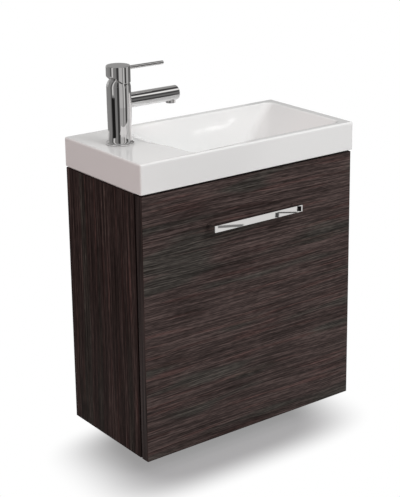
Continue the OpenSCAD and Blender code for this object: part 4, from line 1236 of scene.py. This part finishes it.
@dataclass
class Tap:
    """The lever mixer: a turned body on a flared foot, a round spout, a domed nut, a cap with a pin lever.

    Args:
        foot_r: Radius of the foot.
        foot_z: Height of the foot's upright edge.
        flare: Radius and height at which the foot's slope ends.
        waist_r: Radius just above the foot.
        waist_z: Height of the waist.
        straight_z: Height above which the body is a plain cylinder.
        body_r: Radius of the body, its dome and its cap.
        body_h: Height of the body over the deck.
        lift: Gap between the foot and the deck.
        bore_r: Radius of the cartridge's bore.
        seat_z: Height of the cartridge's seat.
        tilt_z: Height of the tilt axis, the dome's centre.
        dome_fit: Gap between the dome and the cap's hollow.
        spout_z: Height of the spout's axis.
        spout_r: Radius of the spout.
        reach: Distance of the spout's end from the axis.
        outlet_x: Distance of the outlet from the axis.
        outlet_r: Radius of the outlet.
        inlets: Places of the inlets from the axis.
        inlet_r: Radius of the inlets.
        inlet_top: Height of the inlets' upper ends over the foot.
        stud: Place of the fixing stud from the axis, its radius and its upper end's height.
        cap_cut: Angle of the cut under the back of the cap.
        cap_cut_start: Distance behind the axis at which the cut starts.
        pin_r: Radius of the pin lever.
        pin_z: Height of the pin lever over the cap's lower edge.
        pin_reach: Distance of the pin lever's end from the axis.
    """

    foot_r: float = 21.0
    foot_z: float = 2.7
    flare: tuple[float, float] = (18.5, 4.4)
    waist_r: float = 17.2
    waist_z: float = 13.4
    straight_z: float = 46.0
    body_r: float = 18.0
    body_h: float = 88.0
    lift: float = 0.4
    bore_r: float = 12.55
    seat_z: float = 70.0
    tilt_z: float = 84.5
    dome_fit: float = 0.5
    spout_z: float = 62.5
    spout_r: float = 11.2
    reach: float = 101.5
    outlet_x: float = 91.5
    outlet_r: float = 7.32
    inlets: tuple[tuple[float, float], ...] = ((3.0, -8.0), (3.0, 8.0))
    inlet_r: float = 5.0
    inlet_top: float = 14.0
    stud: tuple[float, float, float] = (-12.0, 4.02, 12.5)
    cap_cut: float = 37.0
    cap_cut_start: float = 3.0
    pin_r: float = 2.8
    pin_z: float = 18.8
    pin_reach: float = 79.0

    def axis(self) -> Vector:
        """The tap's axis at the deck."""
        low, high = corners("tap_body")
        return Vector(((low.x + high.x) / 2, (low.y + high.y) / 2, corners("basin")[1].z))

    def peg(self, x: float, y: float, radius: float, low: float, high: float) -> bpy.types.Object:
        """An upright cylinder that a hole is cut with."""
        at = self.axis() + Vector((x, y, 0))
        return Form().lathe([(0, low, 0), (radius, low, 0), (radius, high, 0), (0, high, 0)], tuple(at),
                            steps=64).piece("peg")

    def build(self) -> None:
        """Builds and dresses the fixed and the turning pieces."""
        at = tuple(self.axis())
        r, top, centre = self.body_r, self.body_h, self.tilt_z
        seam = math.degrees(math.asin((top - centre) / r))
        foot, seat = self.lift, self.seat_z
        body = Form().lathe([
            (0, foot, 0), (self.foot_r, foot, 0.5), (self.foot_r, self.foot_z, 0.7), (*self.flare, 2.0),
            (self.waist_r, self.waist_z, 5.0), (r, self.straight_z, 14.0), *arc(r, centre, 0, seam - 1, 6),
            (r * 0.977, top, 0.0), (self.bore_r, top, 0.3), (self.bore_r, seat, 0), (0, seat, 0)],
            at, steps=128).piece("turned_tap_body")
        pegs = [self.peg(x, y, self.inlet_r, -3, self.inlet_top + self.lift) for x, y in self.inlets]
        stud_x, stud_r, stud_top = self.stud
        carve(body, *pegs, self.peg(stud_x, 0, stud_r, -3, stud_top))
        fit(body, Body.CABINET, CHROME, "chrome", "tap_body")
        low, high = corners("cartridge_nut")
        foot, crown = low.z - at[2], high.z - at[2]
        mouth = math.sqrt(r ** 2 - (crown - centre) ** 2)
        rim = math.degrees(math.asin((crown - centre) / r))
        neck = self.bore_r - 0.1
        dome = Form().lathe([
            (mouth, foot, 0.2), (neck, foot, 0.3), (neck, top, 0), (r * 0.974, top, 0),
            *arc(r, centre, seam + 0.8, rim, 18)], at, steps=128, closed=True)
        fit(dome.piece("domed_cartridge_nut"), Body.CABINET, CHROME, "chrome", "cartridge_nut")
        start = 8.0
        spout = Form().lathe([
            (0, start, 0), (self.spout_r, start, 0), (self.spout_r, self.reach, 1.0), (0, self.reach, 0)],
            (at[0], at[1], at[2] + self.spout_z), Turn.SIDEWAYS).piece("round_spout")
        outlet = self.peg(self.outlet_x, 0, self.outlet_r, self.spout_z - 30, self.spout_z - self.spout_r + 6)
        carve(spout, self.peg(0, 0, r + 0.02, self.spout_z - 40, self.spout_z + 21), outlet)
        fit(spout, Body.CABINET, CHROME, "chrome", "tap_spout")
        self.lever()

    def lever(self) -> None:
        """Builds and dresses the cap, hollow over the dome, and its pin lever."""
        low, high = corners("lever_cap")
        axis = self.axis()
        at = (axis.x, axis.y, low.z)
        tall, centre, hollow = high.z - low.z, self.tilt_z + axis.z - low.z, self.body_r + self.dome_fit
        slope = math.radians(self.cap_cut)
        mouth = math.degrees(math.asin(-centre / hollow))
        cap = Form().lathe([(0, centre + hollow, 0), *arc(hollow, centre, 80, mouth, 20),
                            (self.body_r, 0, 0.25), (self.body_r, tall, 1.5), (0, tall, 0)], at, steps=128)
        cap.cut_below((axis.x - self.cap_cut_start, axis.y, low.z), (-math.sin(slope), 0.0, -math.cos(slope)))
        fit(cap.piece("lever_cap_shell"), Body.LEVER, CHROME, "chrome", "lever_cap")
        start, end = 9.0, self.pin_reach
        pin = Form().lathe([(0, start, 0), (self.pin_r, start, 0), (self.pin_r, end, 0.8), (0, end, 0)],
                           (at[0], at[1], at[2] + self.pin_z), Turn.SIDEWAYS, steps=48)
        fit(pin.piece("pin_lever"), Body.LEVER, CHROME, "chrome", "lever_pin")


@dataclass
class Handle:
    """The bow handle: a flat bar that turns square back to the door at both ends.

    Args:
        bar_t: Thickness of the bar.
        corner: Outer radius of its two corners.
        hollow: Inner radius of its two corners.
        foot_t: Thickness of a foot along the bar.
        edge: Radius of the long edges.
    """

    bar_t: float = 4.4
    corner: float = 1.2
    hollow: float = 0.8
    foot_t: float = 7.0
    edge: float = 0.45

    def build(self) -> None:
        """Builds and dresses the handle."""
        low, high = corners("handle")
        form = Form().block(tuple(low), (high.x, low.y + self.bar_t, high.z))
        bm = form.bm
        for x in (low.x + self.foot_t, high.x - self.foot_t):
            bmesh.ops.bisect_plane(bm, geom=bm.verts[:] + bm.edges[:] + bm.faces[:], dist=1e-5,
                                   plane_co=(x, 0, 0), plane_no=(1, 0, 0))
            bmesh.ops.recalc_face_normals(bm, faces=bm.faces[:])
        for side in (-1, 1):
            face = next(f for f in bm.faces
                        if f.normal.y > 0.9 and side * f.calc_center_median().x > high.x * 0.9)
            grown = bmesh.ops.extrude_face_region(bm, geom=[face])
            bmesh.ops.delete(bm, geom=[face], context="FACES")
            bmesh.ops.translate(bm, verts=[g for g in grown["geom"] if isinstance(g, bmesh.types.BMVert)],
                                vec=(0, high.y - low.y - self.bar_t, 0))
        bmesh.ops.recalc_face_normals(bm, faces=bm.faces[:])

        def upright(x: float, y: float) -> list[bmesh.types.BMEdge]:
            """The upright edges at a place and at its mirror place."""
            return form.edges_where(
                lambda a, b: all(abs(abs(p.x) - x) < 0.01 and abs(p.y - y) < 0.01 for p in (a, b)))

        form.bevel(upright(high.x, low.y), self.corner, 6)
        form.bevel(upright(high.x - self.foot_t, low.y + self.bar_t), self.hollow, 4)
        sharp = [e for e in bm.edges if len(e.link_faces) == 2 and e.calc_face_angle(0) > 0.9
                 and not all(abs(v.co.y - high.y) < 0.01 for v in e.verts)]
        form.bevel(sharp, self.edge, 3)
        fit(form.piece("bow_handle", 40.0), Body.DOOR, CHROME, "chrome", "handle")


@dataclass
class Boards:
    """The laminated boards, which keep their CAD solids.

    Args:
        upright: The boards whose grain is upright: the side panels.
        level: The boards whose grain is level.
        side_mid_painted_shade: Colour of the side panels' ground, made darker than the door's as painted
            shade on the unit's sides.
        side_zone: Length and width of the side panels' slow bands, in millimetres.
        step: Offset from one board's figure to the next one's.
    """

    upright: tuple[str, ...] = ("side_panel_left", "side_panel_right")
    level: tuple[str, ...] = (
        "door_panel", "bottom_panel", "front_rail", "upper_back_rail", "lower_back_rail")
    side_mid_painted_shade: Colour = (0.0325, 0.0226, 0.0209)
    side_zone: tuple[float, float] = (500.0, 24.0)
    step: float = 0.37

    def dress(self) -> None:
        """Gives each board its own run of the laminate."""
        for i, node in enumerate(self.upright + self.level):
            low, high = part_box(node)
            board = Laminate(f"wenge_{node}", Grain.LEVEL, tuple(low), tuple(high), shift=self.step * i)
            if node in self.upright:
                # The side panels' darker ground is painted shade on the unit's sides.
                board = replace(board, grain=Grain.UPRIGHT, mid=self.side_mid_painted_shade, zone=self.side_zone,
                                bands=0.3, stretch=2.2, gloss=0.008)
            paint(node, board)


def paint(node: str, finish: Finish) -> None:
    """Gives a CAD node a finish through its object's material slots.

    Args:
        node: The node's name.
        finish: The finish.
    """
    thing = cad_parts[node]
    if not thing.material_slots:
        thing.data.materials.append(None)
    for slot in thing.material_slots:
        slot.material = finish.material()
    log.info("node %s: %s", node, finish.name)


FITTINGS: dict[Finish, tuple[str, ...]] = {
    BEECH: ("dowels",),
    NICKEL: ("lower_hinge_cup", "upper_hinge_cup", "lower_hinge_arm", "upper_hinge_arm", "lower_hinge_plate",
             "upper_hinge_plate", "hinge_pins"),
    ZINC: ("cam_bolts", "cam_discs", "handle_screws", "cup_screws", "hinge_adjusting_screws", "plate_screws",
           "lever_stem", "lever_grub_screw", "fixing_stud", "clamp_washer"),
    BRASS: ("stud_nut", "waste_back_nut"),
    RUBBER: ("door_buffers", "foot_seal", "clamp_rubber", "waste_top_washer", "waste_low_washer"),
    SEALANT: ("sealant_bead",),
    PLASTIC: ("cartridge", "cartridge_spindle"),
    CHROME: ("aerator", "handle", "waste_body", "waste_plug", "tap_body", "tap_spout", "cartridge_nut",
             "lever_cap", "lever_pin"),
    GLAZE: ("basin",),
}


@dataclass(frozen=True)
class Cloth:
    """One cloth of the ring round the unit, as metal sees it.

    Args:
        start: Azimuth of its left edge from the front (-Y), positive to the right, in degrees.
        end: Azimuth of its right edge.
        grey: How bright it is.
        low: Height of its lower edge, in metres.
        high: Height of its upper edge, in metres.
        soft: Half the width of its upright edges, in degrees.
    """

    start: float
    end: float
    grey: float
    low: float = -2.0
    high: float = 3.0
    soft: float = 1.2

    @property
    def blur(self) -> float:
        """Half the width of its level edges, in metres."""
        return self.soft * 0.0016


def behind(start: float, grey: float, low: float = -2.0, high: float = 3.0,
           soft: float = 4.0) -> tuple[Cloth, Cloth]:
    """A cloth behind the unit, in two halves, because the azimuth jumps from 180 to -180 there.

    Args:
        start: Azimuth of its left edge, in degrees.
        grey: How bright it is.
        low: Height of its lower edge, in metres.
        high: Height of its upper edge, in metres.
        soft: Half the width of its upright edges, in degrees.

    Returns:
        The halves, of which the second ends at -150 degrees.
    """
    return Cloth(start, 180.1, grey, low, high, soft), Cloth(-180.1, -150, grey, low, high, soft)


BACK_CLOTHS = (
    *behind(112, 0.31, low=0.298), *behind(112, 0.60, low=0.060, high=0.298),
    *behind(112, 0.45, low=0.138, high=0.204, soft=3.0),
    Cloth(112, 136, 0.90, low=0.020, high=0.132, soft=3.0),
    *behind(150, 0.24, high=0.132, soft=3.0),
)
TAP_CLOTHS = (
    Cloth(-114, -97, 0.11), Cloth(-95, -83, 0.66, low=0.045), Cloth(-104, -71, 0.012, high=0.040),
    Cloth(-70, -52, 0.20), Cloth(-50, -30, 0.045), Cloth(-27, 3, 0.38), Cloth(-27, 3, 0.47, low=0.012),
    Cloth(3, 9, 0.20), Cloth(12, 24, 0.42), Cloth(12, 24, 0.56, low=0.012), Cloth(27, 43, 0.05),
    Cloth(46, 68, 0.46), Cloth(70, 122, 0.14, high=0.30),
)
LOW_CLOTHS = (
    Cloth(20, 75, 0.72, high=-0.09, soft=4.0), Cloth(-100, 20, 0.62, high=-0.11, soft=4.0),
)
BOWL_CLOTHS = (
    Cloth(25, 44, 0.15, low=0.10, high=0.28, soft=3.0), Cloth(25, 60, 0.06, low=0.30, high=0.47, soft=3.0),
    Cloth(40, 66, 1.0, low=0.55, high=0.70, soft=4.0), Cloth(60, 105, 0.05, low=0.78, high=1.00, soft=6.0),
    Cloth(55.1, 56.9, 4.0, low=0.1760, high=0.1818, soft=0.4),
    Cloth(57.7, 59.1, 5.4, low=0.1735, high=0.1785, soft=0.3),
    Cloth(58.9, 60.6, 5.4, low=0.1682, high=0.1740, soft=0.3),
    Cloth(60.4, 61.9, 3.6, low=0.1642, high=0.1684, soft=0.3),
    Cloth(61.8, 63.2, 3.6, low=0.1635, high=0.1672, soft=0.3),
    Cloth(63.1, 64.6, 4.4, low=0.1660, high=0.1722, soft=0.3),
)
HANDLE_CLOTHS = (
    Cloth(34.7, 39.6, 0.20, low=-0.1540, high=-0.1478, soft=0.3),
    Cloth(45.4, 46.1, 0.06, low=-0.1350, high=-0.1240, soft=0.1),
    Cloth(45.8, 49.5, 0.10, low=-0.1256, high=-0.1224, soft=0.2),
    Cloth(49.40, 50.48, 0.005, low=-0.1212, high=-0.1098, soft=0.06),
)


@dataclass(frozen=True)
class Lamp:
    """A soft rectangular lamp, which metal doesn't show.

    Args:
        name: Its name.
        place: Where it stands, in metres.
        aim: The point it faces, in metres.
        size: Its width and height, in metres.
        power: Its power, in watts.
        colour: Its colour.
    """

    name: str
    place: Point
    aim: Point
    size: tuple[float, float]
    power: float
    colour: Colour = WHITE

    def stand(self) -> None:
        """Stands the lamp in the scene."""
        data = bpy.data.lights.new(self.name, "AREA")
        data.shape = "RECTANGLE"
        data.size, data.size_y = self.size
        data.energy = self.power
        data.color = self.colour
        lamp = bpy.data.objects.new(self.name, data)
        lamp.location = self.place
        lamp.rotation_euler = (Vector(self.aim) - Vector(self.place)).to_track_quat("-Z", "Y").to_euler()
        lamp.visible_camera = False
        lamp.visible_glossy = False
        bpy.context.scene.collection.objects.link(lamp)


LAMPS = (
    Lamp("key_light", (0.75, -2.1, 1.5), (0, -0.1, -0.05), (1.3, 1.5), 37.2),
    Lamp("top_light", (0.1, -0.2, 1.9), (0, -0.1, 0), (1.4, 1.0), 8.4),
    Lamp("side_light", (-2.0, -0.5, 0.5), (-0.2, -0.1, -0.1), (0.9, 0.4), 7.4, (1.0, 0.66, 0.63)),
)


@dataclass
class Studio:
    """The camera, the lights, the pale floor and the white surroundings.

    Args:
        azimuth: The camera's turn about the upright axis, in degrees.
        elevation: Its height over the horizon, in degrees.
        roll: Its roll, in degrees.
        distance: Its distance from the target.
        focal: The focal length in pixels of the photograph.
        target: The point on its axis.
        centre: The axis's place in the photograph, in pixels.
        width: The photograph's width, in pixels.
        height: The photograph's height, in pixels.
        sensor: Height of the camera's sensor.
        floor_drop: Gap between the unit's underside and the floor.
        ring: Centre of the ring of cloths and its radius, in metres.
        ring_top: Height of the ring's upper edge, in metres.
        haze: How bright the ring is between its cloths.
        cloth_tint: Colour of the cloths.
        painted_shadow_blob: Centre of the painted shadow on the floor and its half widths, in metres.
        lean: How far the painted shadow leans to the right, per metre of depth.
        fade: Shares of the painted shadow's half widths between which the floor turns white.
        veil: Share of white in the middle of the painted shadow.
        shadow: Dark colour painted on the floor in the painted shadow, where the real shadow falls on it too.
        bounce: Colour of the floor as matt faces are lit by it.
        overhead: How bright metal sees the sky above the ring.
        fill: The even light on matt faces.
    """

    azimuth: float = -37.905
    elevation: float = 15.966
    roll: float = -0.292
    distance: float = 2127.5
    focal: float = 1363.0
    target: Point = (49.0, -110.0, 14.2)
    centre: tuple[float, float] = (240.4, 172.0)
    width: float = 400.0
    height: float = 497.0
    sensor: float = 36.0
    floor_drop: float = 26.0
    ring: Point = (-0.1555, -0.0855, 0.55)
    ring_top: float = 1.3
    painted_shadow_blob: tuple[float, float, float, float] = (-0.0376, -0.1458, 0.2515, 0.1404)
    lean: float = 0.095
    fade: tuple[float, float] = (0.55, 1.093)
    veil: float = 0.29
    shadow: Colour = (0.2130, 0.2070, 0.2170)
    bounce: Colour = (0.42, 0.42, 0.42)
    haze: float = 0.23
    cloth_tint: Colour = (1.0, 0.99, 0.975)
    overhead: float = 0.34
    fill: float = 0.45

    def camera(self) -> None:
        """Sets the camera from its fit to the photograph."""
        a, e, r = (math.radians(v) for v in (self.azimuth, self.elevation, self.roll))
        back = Vector((math.sin(a) * math.cos(e), -math.cos(a) * math.cos(e), math.sin(e)))
        side = Vector((math.cos(a), math.sin(a), 0.0))
        rise = back.cross(side)
        right = math.cos(r) * side + math.sin(r) * rise
        up = -math.sin(r) * side + math.cos(r) * rise
        lens = bpy.data.cameras.new("photo_camera")
        lens.sensor_width = self.sensor
        lens.lens = self.focal / self.height * self.sensor
        # The shift puts the lens's axis where the fit has it in the photograph.
        lens.shift_x = (self.width / 2 - self.centre[0]) / self.height
        lens.shift_y = (self.centre[1] - self.height / 2) / self.height
        lens.clip_start, lens.clip_end = 0.05, 30.0
        eye = bpy.data.objects.new("photo_camera", lens)
        place = (Vector(self.target) + back * self.distance) * MM
        eye.matrix_world = Matrix((right, up, back)).transposed().to_4x4()
        eye.matrix_world.translation = place
        bpy.context.scene.collection.objects.link(eye)
        bpy.context.scene.camera = eye

    def ground(self) -> float:
        """Height of the floor, in metres."""
        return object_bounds()[0][2] - self.floor_drop * MM

    @staticmethod
    def prop(name: str, bm: bmesh.types.BMesh) -> tuple[bpy.types.Object, Bench]:
        """Makes a piece of the studio and starts its material.

        Args:
            name: The name of the piece and of its material.
            bm: Its mesh in metres, which is freed.

        Returns:
            The piece and its material's bench.
        """
        mesh = bpy.data.meshes.new(name)
        bm.to_mesh(mesh)
        bm.free()
        made = bpy.data.objects.new(name, mesh)
        bpy.context.scene.collection.objects.link(made)
        material = bpy.data.materials.new(name)
        material.use_nodes = True
        mesh.materials.append(material)
        return made, Bench(material.node_tree)

    def cloths(self) -> None:
        """Stands the ring of lit and dark cloths round the unit, which only metal and glaze reflect."""
        foot = self.ground() - 0.01
        middle_x, middle_y, radius = self.ring
        bm = bmesh.new()
        bmesh.ops.create_cone(bm, cap_ends=False, segments=96, radius1=radius, radius2=radius,
                              depth=self.ring_top - foot)
        bmesh.ops.translate(bm, verts=bm.verts[:], vec=(middle_x, middle_y, (self.ring_top + foot) / 2))
        ring, bench = self.prop("studio_cloths", bm)
        x, y, z = bench.where()
        # The azimuth counts from the front, positive to the right, as each cloth's does.
        turn = x.maths("ARCTAN2", x - middle_x, middle_y - y) * (180 / math.pi)
        grey: Socket | float = self.haze
        for cloth in BACK_CLOTHS + TAP_CLOTHS + LOW_CLOTHS + BOWL_CLOTHS + HANDLE_CLOTHS:
            share = turn.over(cloth.start - cloth.soft, cloth.start + cloth.soft)
            share = share * turn.over(cloth.end + cloth.soft, cloth.end - cloth.soft)
            if cloth.low > foot:
                share = share * z.over(cloth.low - cloth.blur, cloth.low + cloth.blur)
            if cloth.high < self.ring_top:
                share = share * z.over(cloth.high + cloth.blur, cloth.high - cloth.blur)
            grey = grey + share * (cloth.grey - grey)
        bench.close(bench.node("ShaderNodeEmission", None,
                               {"Color": (*self.cloth_tint, 1.0), "Strength": grey}))
        for flag in ("visible_camera", "visible_diffuse", "visible_shadow", "visible_transmission"):
            setattr(ring, flag, False)
        ring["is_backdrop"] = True

    def floor(self) -> None:
        """Lays the pale floor with a painted shadow under the unit, mixed with its real shadow; the floor
        runs out into white away from the unit and is clear from below.
        """
        bm = bmesh.new()
        bmesh.ops.create_grid(bm, x_segments=2, y_segments=2, size=3.0)
        bmesh.ops.translate(bm, verts=bm.verts[:], vec=(0, -0.1, self.ground()))
        floor, bench = self.prop("studio_floor", bm)
        x, y, _z = bench.where()
        middle_x, middle_y, half_w, half_d = self.painted_shadow_blob
        # The distance is 1 on the edge of the painted shadow, a rectangle with round corners, and grows
        # outwards.
        across = abs(x - middle_x - (y - middle_y) * self.lean) / half_w
        deep = abs(y - middle_y) / half_d
        away = (across ** 4.0 + deep ** 4.0) ** 0.25
        ray = {name: bench.node("ShaderNodeLightPath", out=name) for name in
               ("Is Camera Ray", "Is Glossy Ray", "Is Transmission Ray")}
        seen = ray["Is Camera Ray"].most(ray["Is Glossy Ray"]).most(ray["Is Transmission Ray"])
        bounce = bench.node("ShaderNodeBsdfDiffuse", None, {"Color": (*self.bounce, 1.0)})
        # Painted shadow: inside the blob the floor is a dark matt colour with little white, whatever the
        # light; the matt part takes the real shadow too.
        shaded = bench.node("ShaderNodeBsdfDiffuse", None, {"Color": (*self.shadow, 1.0)})
        white = bench.node("ShaderNodeEmission", None, {"Color": (*WHITE, 1.0)})
        share = away.over(*self.fade) * (1 - self.veil) + self.veil
        pale = bench.node("ShaderNodeMixShader", None, {0: share, 1: shaded, 2: white})
        lit = bench.node("ShaderNodeMixShader", None, {0: seen, 1: bounce, 2: pale})
        clear = bench.node("ShaderNodeBsdfTransparent")
        under = bench.node("ShaderNodeNewGeometry", out="Backfacing")
        bench.close(bench.node("ShaderNodeMixShader", None, {0: under, 1: lit, 2: clear}))
        floor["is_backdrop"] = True

    def surroundings(self) -> None:
        """Sets the world: white to the eye, grey in metal, and an even light on matt faces."""
        world = bpy.data.worlds.new("studio")
        bpy.context.scene.world = world
        world.use_nodes = True
        bench = Bench(world.node_tree)
        camera = bench.node("ShaderNodeLightPath", out="Is Camera Ray")
        through = bench.node("ShaderNodeLightPath", out="Is Transmission Ray")
        glossy = bench.node("ShaderNodeLightPath", out="Is Glossy Ray")
        seen = camera.most(through)
        level = seen + (1.0 - seen) * (glossy * self.overhead + (1.0 - glossy) * self.fill)
        bench.close(bench.node("ShaderNodeBackground", None, {"Color": (*WHITE, 1.0), "Strength": level}))

    def build(self) -> None:
        """Sets the camera, lights, floor and colour handling."""
        self.camera()
        self.surroundings()
        self.floor()
        self.cloths()
        for lamp in LAMPS:
            lamp.stand()
        bpy.context.scene.view_settings.view_transform = "Standard"


def main() -> None:
    """Builds the pieces in order."""
    logging.basicConfig(level=logging.INFO, format="%(message)s")
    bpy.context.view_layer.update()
    for finish, nodes in FITTINGS.items():
        for node in nodes:
            paint(node, finish)
    Boards().dress()
    waste, tap = Waste(), Tap()
    Studio().build()
    Basin().build(waste.axis(), tap.axis())
    waste.build()
    tap.build()
    Handle().build()


if __name__ == "__main__":
    main()
